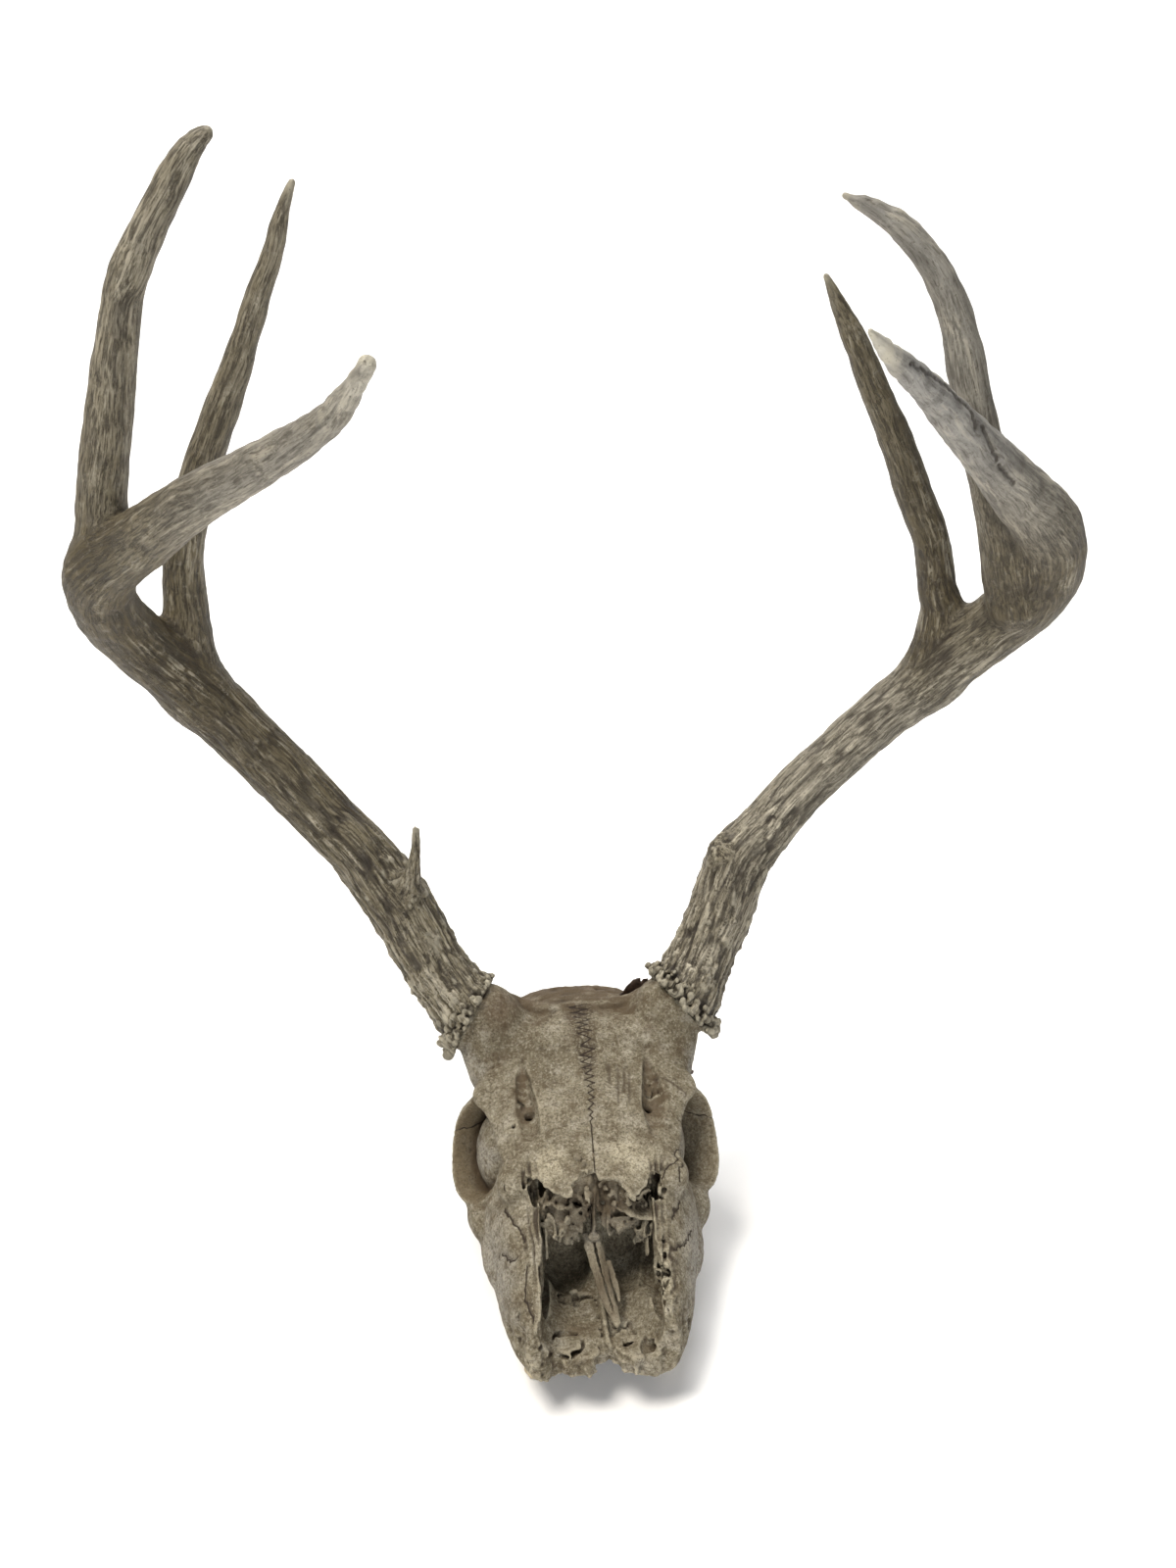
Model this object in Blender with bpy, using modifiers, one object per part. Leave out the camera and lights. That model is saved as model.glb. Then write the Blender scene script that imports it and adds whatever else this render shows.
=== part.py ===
"""A whitetail buck's skull with its antlers, without the lower jaw, resting on its cheek teeth.

Lengths are in millimetres and become metres in spot(). Every place is given as (x, ahead, up):
x from the skull's middle plane towards its left, ahead from the back of the skull towards the
nose, and up from the flat crowns of the cheek teeth. The nose points along -Y.
"""

import math

import bmesh
import bpy
from mathutils import Matrix, Vector

MM = 0.001
GAP = 0.3
SIDES = {"right": -1, "left": 1}

# The skull's middle plane and back, in the part's own frame.
MIDDLE_X = -4.62
BACK_Y = 107.94

# Driving dimensions of the skull.
FOREHEAD_TOP = 109.0
FOREHEAD_SLOPE = 0.27
FOREHEAD_REAR = 67.0
ORBIT = (47.0, 118.0, 69.0)
ORBIT_RADIUS = 20.0
ORBIT_AXIS = (0.80, 0.55, 0.22)
PALATE_UP = 20.0
FACE_LEAN = 0.2
SKULL_VOXEL = 1.5
SKULL_TRIANGLES = 4400

# Driving dimensions of the antlers.
ANTLER_VOXEL = 1.3
BURR_TILT = {"right": (-0.87, -0.27, 0.42), "left": (0.75, -0.27, 0.60)}
BURR_RADIUS = {"right": 18.5, "left": 20.0}
BURR_CENTRE = {"right": (-49, 70, 106.5), "left": (47, 69, 108)}
STALK_RADIUS = 16.5
KNOBS = 17
ANTLER_TRIANGLES = {"right": 1900, "left": 1750}

# Driving dimensions of the teeth: name, length along the row, width, distance from the middle.
TOOTH_ROW_FRONT = 184.0
TOOTH_GAP = 0.4
ROOT_UP = 16.0
TEETH = (
    ("second_premolar", 9.5, 9.0, 27.5),
    ("third_premolar", 10.0, 11.0, 29.0),
    ("fourth_premolar", 10.0, 12.5, 30.0),
    ("first_molar", 12.5, 14.5, 30.5),
    ("second_molar", 14.5, 15.5, 31.0),
    ("third_molar", 15.5, 14.5, 30.5),
)

# Branches of each antler: (x, ahead, up, radius) along the middle line.
BRANCHES = {
    "right": {
        "beam": (
            (-46, 72, 104, 17.0),
            (-52, 68, 111, 16.5),
            (-59, 64, 119, 15.0),
            (-67, 58, 129, 14.6),
            (-81, 47, 154, 15.4),
            (-98, 38, 177, 14.0),
            (-109, 33, 188, 13.5),
            (-128, 27, 209, 13.9),
            (-148, 24, 232, 14.1),
            (-165, 28, 255, 14.6),
            (-183, 48, 285, 13.5),
            (-188, 66, 304, 13.3),
            (-184, 84, 323, 13.0),
            (-163, 104, 340, 11.4),
            (-137, 132, 360, 9.4),
            (-104, 166, 381, 7.0),
            (-81, 195, 398, 4.8),
            (-67, 218, 416, 2.0),
        ),
        "brow_tine": ((-80, 50, 158, 7.0), (-75, 56, 170, 4.6), (-72, 59, 186, 2.6), (-71, 61, 199, 1.6)),
        "second_tine": (
            (-166, 27, 252, 13.0),
            (-165, 30, 285, 10.0),
            (-163, 34, 312, 8.6),
            (-159, 38, 329, 8.1),
            (-150, 43, 353, 7.7),
            (-138, 48, 378, 7.1),
            (-127, 52, 402, 5.8),
            (-119, 56, 421, 4.9),
            (-112, 58, 435, 4.2),
            (-107, 61, 449, 3.1),
            (-102, 63, 460, 1.4),
        ),
        "third_tine": (
            (-184, 80, 320, 12.0),
            (-177, 92, 352, 9.5),
            (-167, 103, 387, 8.4),
            (-159, 110, 414, 7.2),
            (-152, 114, 433, 6.5),
            (-137, 118, 456, 5.8),
            (-127, 119, 470, 4.3),
            (-120, 119, 477, 1.8),
        ),
    },
    "left": {
        "beam": (
            (44, 71, 105, 18.0),
            (50, 67, 112, 17.5),
            (55, 62, 120, 15.6),
            (62, 56, 133, 14.8),
            (68, 51, 145, 15.2),
            (78, 42, 168, 14.7),
            (92, 36, 182, 13.0),
            (108, 30, 198, 12.3),
            (126, 25, 213, 12.3),
            (144, 22, 229, 12.5),
            (164, 24, 247, 13.7),
            (178, 34, 267, 14.2),
            (188, 46, 283, 14.2),
            (196, 62, 301, 13.8),
            (194, 76, 318, 13.7),
            (183, 92, 337, 13.2),
            (160, 115, 356, 11.0),
            (135, 140, 376, 8.2),
            (110, 168, 395, 6.0),
            (94, 186, 407, 4.5),
            (80, 203, 416, 2.9),
            (71, 217, 423, 1.3),
        ),
        "broken_tine": ((76, 44, 172, 8.0), (69, 49, 180, 7.0), (66, 51, 184, 5.0)),
        "second_tine": (
            (167, 24, 250, 12.5),
            (167, 29, 283, 9.7),
            (163, 31, 295, 8.8),
            (157, 35, 317, 7.9),
            (146, 40, 338, 7.9),
            (135, 45, 361, 7.2),
            (122, 51, 383, 6.1),
            (109, 57, 406, 4.9),
            (96, 62, 427, 1.4),
        ),
        "third_tine": (
            (187, 62, 300, 13.0),
            (172, 76, 332, 10.2),
            (158, 88, 359, 8.4),
            (145, 97, 389, 7.5),
            (135, 104, 413, 6.5),
            (125, 108, 430, 5.7),
            (112, 110, 444, 4.7),
            (99, 110, 452, 3.4),
            (89, 110, 456, 1.4),
        ),
    },
}

# Saw cuts that part each antler at its forks: place, direction of the branch there, radius.
FORK_CUTS = {
    "right": (
        ((-183, 48, 285), (-23, 38, 49), 14.8),
        ((-165, 31, 292), (0, 3, 33), 11.5),
        ((-156, 111.5, 345.5), (26, 28, 20), 12.6),
        ((-174.5, 95, 360), (10, 11, 35), 11.5),
        ((-74.5, 56.5, 173), (3, 2, 15), 5.8),
    ),
    "left": (
        ((188, 46, 283), (18, 28, 34), 15.2),
        ((165, 30, 290), (-3, 4, 20), 10.6),
        ((163, 112, 353.5), (-24, 24, 19), 13.0),
        ((156.5, 89.5, 364), (-13, 9, 30), 11.5),
    ),
}
# A place on each piece, by which the parts of a cut antler are told from each other.
PIECE_PLACES = {
    "right": {
        "lower_beam": (-109, 33, 188),
        "middle_beam": (-188, 66, 304),
        "beam_end": (-104, 166, 381),
        "second_tine": (-138, 48, 378),
        "third_tine": (-159, 110, 414),
        "brow_tine": (-72, 59, 186),
    },
    "left": {
        "lower_beam": (108, 30, 198),
        "middle_beam": (194, 56, 295),
        "beam_end": (135, 140, 376),
        "second_tine": (135, 45, 361),
        "third_tine": (135, 104, 413),
    },
}


def spot(x, ahead, up):
    """A place on the skull as a point of the part's frame, in metres."""
    return Vector(((x + MIDDLE_X) * MM, (BACK_Y - ahead) * MM, up * MM))


def heading(x, ahead, up):
    """A direction on the skull as a unit vector of the part's frame."""
    return Vector((x, -ahead, up)).normalized()


def clear_scene():
    for obj in list(bpy.data.objects):
        bpy.data.objects.remove(obj, do_unlink=True)


def new_collection(name, helper=False):
    collection = bpy.data.collections.new(name)
    collection.hide_render = helper
    bpy.context.scene.collection.children.link(collection)
    return collection


def plain_material(name, colour, roughness):
    """A dull, non-metallic surface of one colour."""
    made = bpy.data.materials.new(name)
    made.use_nodes = True
    shader = made.node_tree.nodes["Principled BSDF"]
    shader.inputs["Base Color"].default_value = (*colour, 1.0)
    shader.inputs["Roughness"].default_value = roughness
    shader.inputs["Metallic"].default_value = 0.0
    return made


def add_object(name, mesh, collection):
    obj = bpy.data.objects.new(name, mesh)
    collection.objects.link(obj)
    return obj


def mesh_object(name, shape, collection):
    """An object from a bmesh, which is freed."""
    bmesh.ops.recalc_face_normals(shape, faces=shape.faces)
    mesh = bpy.data.meshes.new(name)
    shape.to_mesh(mesh)
    shape.free()
    return add_object(name, mesh, collection)


def bake(obj):
    """Applies an object's modifiers."""
    graph = bpy.context.evaluated_depsgraph_get()
    mesh = bpy.data.meshes.new_from_object(obj.evaluated_get(graph), depsgraph=graph)
    obj.modifiers.clear()
    obj.data = mesh
    return obj


def smooth_rows(rows, steps):
    """Rows of numbers with more rows between them, on a Catmull-Rom curve."""
    found = []
    last = len(rows) - 1
    for i in range(last):
        a, b = rows[max(i - 1, 0)], rows[i]
        c, d = rows[i + 1], rows[min(i + 2, last)]
        for step in range(steps):
            t = step / steps
            found.append(
                tuple(
                    0.5 * (2 * q + (r - p) * t + (2 * p - 5 * q + 4 * r - s) * t**2 + (3 * q - p - 3 * r + s) * t**3)
                    for p, q, r, s in zip(a, b, c, d)
                )
            )
    found.append(tuple(rows[last]))
    return found


def rings_to_shape(rings):
    """A closed body through rings of equally many points, with flat ends."""
    shape = bmesh.new()
    loops = [[shape.verts.new(point) for point in ring] for ring in rings]
    count = len(rings[0])
    for before, after in zip(loops, loops[1:]):
        for i in range(count):
            j = (i + 1) % count
            shape.faces.new((before[i], before[j], after[j], after[i]))
    shape.faces.new(loops[0])
    shape.faces.new(loops[-1])
    return shape


def signed_power(value, power):
    return math.copysign(abs(value) ** power, value)


def section(ahead, half, low, mid, high, under=3.0, over=2.4, crown=0.0, count=28):
    """A ring across the skull: widest at mid, squarer as under and over grow, its sides dropped by crown."""
    ring = []
    for i in range(count):
        turn = 2 * math.pi * i / count
        power = 2 / (over if math.sin(turn) > 0 else under)
        across = signed_power(math.cos(turn), power)
        rise = signed_power(math.sin(turn), power) * (high - mid if math.sin(turn) > 0 else mid - low)
        ring.append(spot(half * across, ahead, mid + rise - crown * across**2))
    return ring


def body(name, stations, collection, steps=3, **form):
    """A lofted volume through stations of (ahead, half, low, mid, high)."""
    rings = [section(*row, **form) for row in smooth_rows(stations, steps)]
    return mesh_object(name, rings_to_shape(rings), collection)


def strap(name, stations, wide_way, collection, steps=3, count=12):
    """A flat band along stations of (x, ahead, up, half_width, half_thickness), wide along wide_way."""
    rows = smooth_rows(stations, steps)
    centres = [spot(*row[:3]) for row in rows]
    rings = []
    for i, (centre, row) in enumerate(zip(centres, rows)):
        along = (centres[min(i + 1, len(rows) - 1)] - centres[max(i - 1, 0)]).normalized()
        wide = (wide_way - along * wide_way.dot(along)).normalized()
        thin = along.cross(wide)
        ring = []
        for k in range(count):
            turn = 2 * math.pi * k / count
            ring.append(centre + (wide * row[3] * math.cos(turn) + thin * row[4] * math.sin(turn)) * MM)
        rings.append(ring)
    return mesh_object(name, rings_to_shape(rings), collection)


def lump(name, place, radii, collection, turn=(0.0, 0.0, 0.0)):
    """An ellipsoid: place and radii as (x, ahead, up), turned about X, Y and Z in degrees."""
    shape = bmesh.new()
    bmesh.ops.create_uvsphere(shape, u_segments=20, v_segments=12, radius=1.0)
    spin = Matrix.Identity(4)
    for angle, axis in zip(turn, "XYZ"):
        spin = Matrix.Rotation(math.radians(angle), 4, axis) @ spin
    bmesh.ops.transform(
        shape,
        matrix=Matrix.Translation(spot(*place)) @ spin @ Matrix.Diagonal((*(r * MM for r in radii), 1.0)),
        verts=shape.verts,
    )
    return mesh_object(name, shape, collection)


def disc(name, place, way, radius, thick, collection):
    """A flat cylinder centred on place, its axis along way."""
    shape = bmesh.new()
    bmesh.ops.create_cone(
        shape, cap_ends=True, segments=24, radius1=radius * MM, radius2=radius * MM, depth=thick * MM
    )
    turn = heading(*way).to_track_quat("Z", "Y").to_matrix().to_4x4()
    bmesh.ops.transform(shape, matrix=Matrix.Translation(spot(*place)) @ turn, verts=shape.verts)
    return mesh_object(name, shape, collection)


def prism(name, outline, low, high, collection, lean=0.0, pivot=0.0):
    """An upright prism on an outline of (x, ahead), leaning back by lean for each unit above pivot."""
    rings = []
    for up in (low, high):
        rings.append([spot(x, ahead - lean * (up - pivot), up) for x, ahead in outline])
    return mesh_object(name, rings_to_shape(rings), collection)


def fuse(name, pieces, voxel, collection):
    """Overlapping closed bodies made one body."""
    shape = bmesh.new()
    for piece in pieces:
        shape.from_mesh(piece.data)
        bpy.data.objects.remove(piece, do_unlink=True)
    mesh = bpy.data.meshes.new(name)
    shape.to_mesh(mesh)
    shape.free()
    obj = add_object(name, mesh, collection)
    remesh = obj.modifiers.new("Fuse", "REMESH")
    remesh.mode = "VOXEL"
    remesh.voxel_size = voxel * MM
    return bake(obj)


def cut(obj, cutter, solver="EXACT"):
    """Takes the cutter's shape out of an object, and removes the cutter."""
    cutter.display_type = "WIRE"
    cutter.hide_render = True
    knife = obj.modifiers.new("Cut", "BOOLEAN")
    knife.operation = "DIFFERENCE"
    knife.solver = solver
    knife.object = cutter
    bake(obj)
    bpy.data.objects.remove(cutter, do_unlink=True)
    return obj


def relax(obj, rounds, factor=0.5):
    """Evens out the steps that a voxel grid leaves."""
    soften = obj.modifiers.new("Relax", "SMOOTH")
    soften.factor = factor
    soften.iterations = rounds
    return bake(obj)


def open_edges(obj):
    """How many edges of an object don't join two faces."""
    shape = bmesh.new()
    shape.from_mesh(obj.data)
    count = sum(not edge.is_manifold for edge in shape.edges)
    shape.free()
    return count


def thin_out(obj, triangles):
    """Fewer, larger triangles that keep the form, with every edge still joining two faces."""
    shape = bmesh.new()
    shape.from_mesh(obj.data)
    bmesh.ops.triangulate(shape, faces=shape.faces)
    shape.to_mesh(obj.data)
    shape.free()
    fine = obj.data
    for goal in range(triangles, triangles - 400, -20):
        fewer = obj.modifiers.new("Thin out", "DECIMATE")
        fewer.ratio = goal / len(fine.polygons)
        fewer.use_collapse_triangulate = True
        bake(obj)
        if not open_edges(obj):
            break
        obj.data = fine
    return obj


def largest_body(obj):
    """Keeps an object's largest connected part."""
    parts = loose_parts(obj)
    parts.sort(key=len)
    shape = bmesh.new()
    shape.from_mesh(obj.data)
    shape.verts.ensure_lookup_table()
    keep = parts[-1]
    bmesh.ops.delete(shape, geom=[v for v in shape.verts if v.index not in keep], context="VERTS")
    shape.to_mesh(obj.data)
    shape.free()
    return obj


def loose_parts(obj):
    """The connected parts of an object's mesh, as sets of vertex indices."""
    shape = bmesh.new()
    shape.from_mesh(obj.data)
    shape.verts.ensure_lookup_table()
    seen, parts = set(), []
    for start in shape.verts:
        if start.index in seen:
            continue
        part, queue = {start.index}, [start]
        while queue:
            for edge in queue.pop().link_edges:
                for vert in edge.verts:
                    if vert.index not in part:
                        part.add(vert.index)
                        queue.append(vert)
        seen |= part
        parts.append(part)
    shape.free()
    return parts


def finish(obj, material):
    """Gives a piece its material and smooth shading."""
    obj.data.materials.clear()
    obj.data.materials.append(material)
    obj.data.shade_smooth()
    obj.data.set_sharp_from_angle(angle=math.radians(50))


def forehead(ahead, drop=0.0):
    """The height of the forehead's middle line."""
    return FOREHEAD_TOP - FOREHEAD_SLOPE * (ahead - FOREHEAD_REAR) - drop


def braincase(work):
    return body(
        "braincase",
        (
            (5, 24, 44, 58, 68),
            (9, 31, 38, 60, 75),
            (18, 35, 36, 61, 83),
            (30, 37.5, 36, 63, 91.5),
            (42, 38, 36, 65, 98.5),
            (55, 37, 38, 67, 104),
            (68, 34, 40, 70, 106),
            (82, 28, 44, 72, 101),
            (98, 19, 48, 72, 97),
            (112, 15, 48, 72, 92),
            (136, 16, 46, 70, 84),
        ),
        work,
        under=2.4,
        over=2.3,
    )


def forehead_plate(work):
    """The two frontals as one crowned plate, widest at the eye sockets' rear corners."""
    rows = []
    for ahead, half, thick in (
        (56, 28, 8),
        (64, 36, 12),
        (74, 43, 15),
        (86, 46, 15),
        (96, 47.5, 13),
        (104, 51.5, 9),
        (109, 51, 8),
        (114, 45.5, 8),
        (121, 42, 9),
        (128, 40.5, 10),
        (136, 39, 10),
        (143, 36.5, 9),
        (150, 33, 7),
        (158, 29, 5),
        (167, 24, 4),
        (175, 18, 3),
    ):
        top = forehead(max(ahead, FOREHEAD_REAR)) - 0.25 * max(FOREHEAD_REAR - ahead, 0)
        rows.append((ahead, half, top - thick, top - 0.45 * thick, top))
    return body("forehead_plate", rows, work, under=3.0, over=3.0, crown=6.5)


def face(work):
    return body(
        "face",
        (
            (110, 34, 16, 38, 60),
            (118, 41, 12.5, 39, 70),
            (128, 46.5, 12, 41, 80),
            (138, 47.5, 12, 41, 84),
            (150, 45.5, 12, 39, 81),
            (163, 43, 12, 37, 76.5),
            (176, 40.5, 12, 34, 70),
            (188, 37, 12, 31, 62),
            (198, 32.5, 14.5, 30, 54),
            (208, 28, 19.5, 30, 46),
        ),
        work,
        under=3.6,
        over=2.6,
    )


def beside_burr(side, along):
    """A place on the axis of an antler's burr, past its centre by along."""
    return tuple(Vector(BURR_CENTRE[side]) + along * Vector(BURR_TILT[side]).normalized())


def stalks(work):
    """The bone stalks that carry the antlers."""
    made = []
    for side, sign in SIDES.items():
        rows = (
            (sign * 22, 88, 76, 20, 20),
            (sign * 33, 84, 86, 19, 19),
            (*beside_burr(side, -8), STALK_RADIUS + 0.5, STALK_RADIUS + 0.5),
            (*beside_burr(side, 0), STALK_RADIUS, STALK_RADIUS),
            (*beside_burr(side, 5), STALK_RADIUS, STALK_RADIUS),
        )
        made.append(strap(f"stalk_{side}", rows, heading(sign, 1, 0), work, count=20))
    return made


def cheeks(work):
    """The rims of the eye sockets and the arches that run back from them, on both sides."""
    made = []
    for side, sign in SIDES.items():
        axis = heading(sign * ORBIT_AXIS[0], ORBIT_AXIS[1], ORBIT_AXIS[2])
        rim = (
            (sign * 45.5, 102, 84.5, 6, 3.0),
            (sign * 50, 100, 77, 6.5, 2.8),
            (sign * 53, 100.5, 69, 6.5, 2.8),
            (sign * 54.5, 104, 61, 6.5, 2.8),
            (sign * 55, 109, 54, 6.5, 2.8),
            (sign * 54.5, 114, 49.5, 6.5, 3.0),
            (sign * 53, 120, 47, 6.5, 3.2),
            (sign * 50, 126, 46.5, 6.5, 3.6),
            (sign * 46, 132.5, 47.5, 6, 4.0),
            (sign * 41.5, 138.5, 52, 6, 4.5),
            (sign * 38, 142, 62, 6, 5.0),
            (sign * 35, 142, 74, 6, 5.0),
        )
        arch = (
            (sign * 48, 130, 42, 5.5, 3.5),
            (sign * 53, 117, 43.5, 5.5, 3.2),
            (sign * 55.5, 104, 47, 5.5, 3.0),
            (sign * 55.5, 91, 50, 5.5, 2.8),
            (sign * 53, 79, 52, 5.5, 2.8),
            (sign * 47, 67, 53, 5.5, 3.5),
            (sign * 36, 57, 55, 6.5, 6.0),
        )
        made.append(strap(f"rim_{side}", rim, axis, work))
        made.append(strap(f"arch_{side}", arch, heading(0, 0, 1), work))
        made.append(lump(f"tear_bulla_{side}", (sign * 37, 119, 51), (9, 13, 8), work))
        made.append(lump(f"cheek_crest_{side}", (sign * 42, 146, 37), (6, 20, 7), work))
    return made


def skull_base(work):
    """What lies under and behind the braincase."""
    made = [
        body(
            "base_bar",
            (
                (3, 10, 27, 33, 40),
                (20, 10.5, 29, 34, 42),
                (40, 9.5, 32, 38, 46),
                (60, 8.5, 36, 42, 50),
                (84, 8, 40, 47, 56),
            ),
            work,
        ),
        strap(
            "nape_crest",
            ((-33, 15, 57, 3.5, 3), (-29, 9, 66, 3.5, 3), (-16, 4.5, 71.5, 3.5, 3), (0, 3.5, 73.5, 4, 3.5),
             (16, 4.5, 71.5, 3.5, 3), (29, 9, 66, 3.5, 3), (33, 15, 57, 3.5, 3)),
            heading(0, -1, 0.5),
            work,
        ),
    ]
    for side, sign in SIDES.items():
        made += [
            lump(f"condyle_{side}", (sign * 13, 5.5, 36), (7.5, 8, 11.5), work, turn=(-20, 0, 0)),
            lump(f"bulla_{side}", (sign * 20, 36, 32), (7, 11, 9), work),
            lump(f"mastoid_{side}", (sign * 32, 19, 55), (8, 9, 15), work),
            lump(f"jaw_joint_{side}", (sign * 37, 56, 52), (11, 9, 6), work),
            strap(
                f"ear_tube_{side}",
                ((sign * 22, 34, 38, 4.5, 4.5), (sign * 33, 32, 46, 4.5, 4.5), (sign * 40, 30, 50, 4.5, 4.5)),
                heading(0, 1, 0),
                work,
            ),
            strap(
                f"jugular_process_{side}",
                (
                    (sign * 28, 16, 52, 9, 5),
                    (sign * 28, 14, 36, 8, 4),
                    (sign * 27, 13, 20, 6.5, 3.2),
                    (sign * 25, 14, 8, 5, 2.8),
                    (sign * 24, 15, -2, 4, 2.6),
                ),
                heading(sign * 0.5, 1, 0),
                work,
            ),
            strap(
                f"wing_plate_{side}",
                (
                    (sign * 11, 66, 47, 12, 2.4),
                    (sign * 12.5, 82, 43, 16, 2.2),
                    (sign * 14, 98, 38, 17, 2.2),
                    (sign * 16, 114, 32, 13, 2.6),
                ),
                heading(0, 0, 1),
                work,
            ),
        ]
    return made


def nose_cutter(work):
    """The open nose between the upper jaws."""
    return body(
        "nose_cutter",
        (
            (124, 8, 52, 60, 70),
            (134, 19, 42, 60, 78),
            (145, 23, 34, 58, 88),
            (158, 23, 30, 56, 104),
            (172, 23, 28, 52, 104),
            (186, 24.5, 27, 48, 104),
            (198, 25, 26, 45, 104),
            (222, 25, 25.5, 45, 104),
        ),
        work,
        under=3.0,
        over=7.0,
    )


def palate_cutter(work):
    """The hollow between the two tooth rows."""
    return body(
        "palate_cutter",
        (
            (92, 15, -20, 0, 36),
            (104, 20, -20, 0, 27),
            (114, 22.5, -20, 0, 20),
            (150, 22.5, -20, 0, PALATE_UP),
            (176, 21, -20, 0, PALATE_UP),
            (196, 20, -20, 0, PALATE_UP),
            (222, 20, -20, 0, PALATE_UP),
        ),
        work,
        under=6.0,
        over=5.0,
    )


def broken_front_cutter(work):
    """The ragged break across the upper jaws, ahead of the teeth."""
    edge = (
        (-46, 190), (-35, 193), (-32, 198), (-29, 203), (-27, 204.5), (-23, 203), (-20, 197), (-17, 199),
        (-10.5, 202.5), (-6, 204), (-1.5, 200), (2.5, 196.5), (5, 198), (8, 201.5), (12, 205), (17, 203.5),
        (25, 202.5), (30, 204), (32.5, 199), (36, 192), (46, 189),
    )
    outline = [*edge, (46, 240), (-46, 240)]
    return prism("broken_front_cutter", outline, -10, 110, work, lean=FACE_LEAN, pivot=22)


def broken_forehead_cutter(work):
    """The ragged front edge of the frontals, with two lobes either side of the middle suture."""
    edge = (
        (-44, 146), (-33, 149), (-24.5, 155), (-20, 161), (-14.5, 167), (-10, 167.5), (-8.5, 162), (-5, 157),
        (1, 155), (2, 160), (9.5, 160.5), (12, 167), (13, 170.5), (15.5, 170), (18, 166), (23, 158),
        (28, 154), (34, 149), (44, 146),
    )
    outline = [*edge, (44, 200), (-44, 200)]
    return prism("broken_forehead_cutter", outline, 60, 110, work)


def hollow_cutters(work):
    """The eye sockets, the hole for the spinal cord, the ear holes and the nerve holes in the cheeks."""
    made = [lump("brain_hole_cutter", (0, 4, 49), (10.5, 16, 9.5), work)]
    for side, sign in SIDES.items():
        x, ahead, up = ORBIT
        made += [
            lump(f"orbit_cutter_{side}", (sign * (x - 2), ahead, up + 1), (25, 21, 17), work, turn=(0, 0, sign * 20)),
            lump(f"ear_cutter_{side}", (sign * 42, 29.5, 51), (6, 2.6, 2.6), work),
            lump(f"cheek_hole_cutter_{side}", (sign * 39, 186, 30), (6, 5, 3.5), work),
        ]
    return made


def groove_cutters(work):
    """The vessel grooves in the forehead above the eyes."""
    for side, sign in SIDES.items():
        place = (sign * 27.5, 116, forehead(116) + 2)
        yield lump(f"groove_cutter_{side}", place, (4, 18, 6.5), work, turn=(-15, 0, 0))


def nose_scrolls(work):
    """The crumpled bone scrolls, the ridged septum and the sinus wall inside the open nose."""
    made = [
        strap(
            "septum",
            ((0, 130, 66, 12, 2.4), (-1, 150, 60, 11, 2.2), (-1, 160, 54, 8, 2.4), (1, 172, 46, 6.5, 2.4),
             (4, 183, 38, 5, 2.4), (6.5, 191, 33, 3.5, 2.0)),
            heading(0, 0.5, 1),
            work,
        ),
        strap(
            "floor_ridge",
            ((0, 140, 33, 3, 2.5), (2, 165, 31, 3, 2.2), (3, 185, 29, 2.5, 2.0), (3.5, 204, 27, 2, 1.8)),
            heading(0, 0, 1),
            work,
        ),
    ]
    for side, sign in SIDES.items():
        for i in range(7):
            made.append(
                lump(
                    f"scroll_{side}_{i}",
                    (sign * (6 + 5.5 * (i % 3)), 150 + 3.5 * (i % 4), 58 + 4.5 * (i // 2)),
                    (5.2, 7.5, 4.2),
                    work,
                    turn=(25 * i, 20 * sign, 35 * i),
                )
            )
        made.append(
            strap(
                f"scroll_wall_{side}",
                ((sign * 22, 140, 56, 14, 2.2), (sign * 20.5, 156, 58, 13, 2.0), (sign * 21.5, 168, 56, 9, 1.6)),
                heading(0, 0, 1),
                work,
            )
        )
    return made


def tooth_shape(length, width, ahead, middle, grow):
    """A low worn crown on a short root, as a loft of two-lobed rings from the root down to the flat crown."""
    profile = ((ROOT_UP, 0.78), (6.0, 1.0), (1.2, 0.98), (0.0, 0.84))
    if grow:
        profile = ((ROOT_UP + grow, 0.78), (6.0, 1.0), (-4.0, 1.0))
    rings = []
    for up, size in profile:
        ring = []
        for i in range(14):
            turn = 2 * math.pi * (i + 0.5) / 14
            waist = 1 - 0.14 * math.exp(-((math.sin(turn) / 0.35) ** 2))
            across = signed_power(math.cos(turn), 0.7) * waist * (width / 2 * size + grow)
            along = signed_power(math.sin(turn), 0.7) * (length / 2 * size + grow)
            ring.append(spot(middle + across, ahead + along, up))
        rings.append(ring)
    return rings_to_shape(rings)


def tooth_places():
    """Each tooth's name, length, width, distance ahead and distance from the middle, with its side's sign."""
    for side, sign in SIDES.items():
        front = TOOTH_ROW_FRONT
        for name, length, width, middle in TEETH:
            yield f"{side}_{name}", length, width, front - length / 2, sign * middle
            front -= length + TOOTH_GAP


def make_teeth(collection, material):
    for name, length, width, ahead, middle in tooth_places():
        tooth = mesh_object(name, tooth_shape(length, width, ahead, middle, 0.0), collection)
        finish(tooth, material)


def burr_knife(side, facing, collection):
    """A thick disc that clears one side of an antler's burr plane, and half a gap past it."""
    reach = 40.0
    place = beside_burr(side, facing * (reach / 2 - GAP / 2))
    return disc(f"burr_knife_{side}", place, BURR_TILT[side], 32.0, reach, collection)


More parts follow.
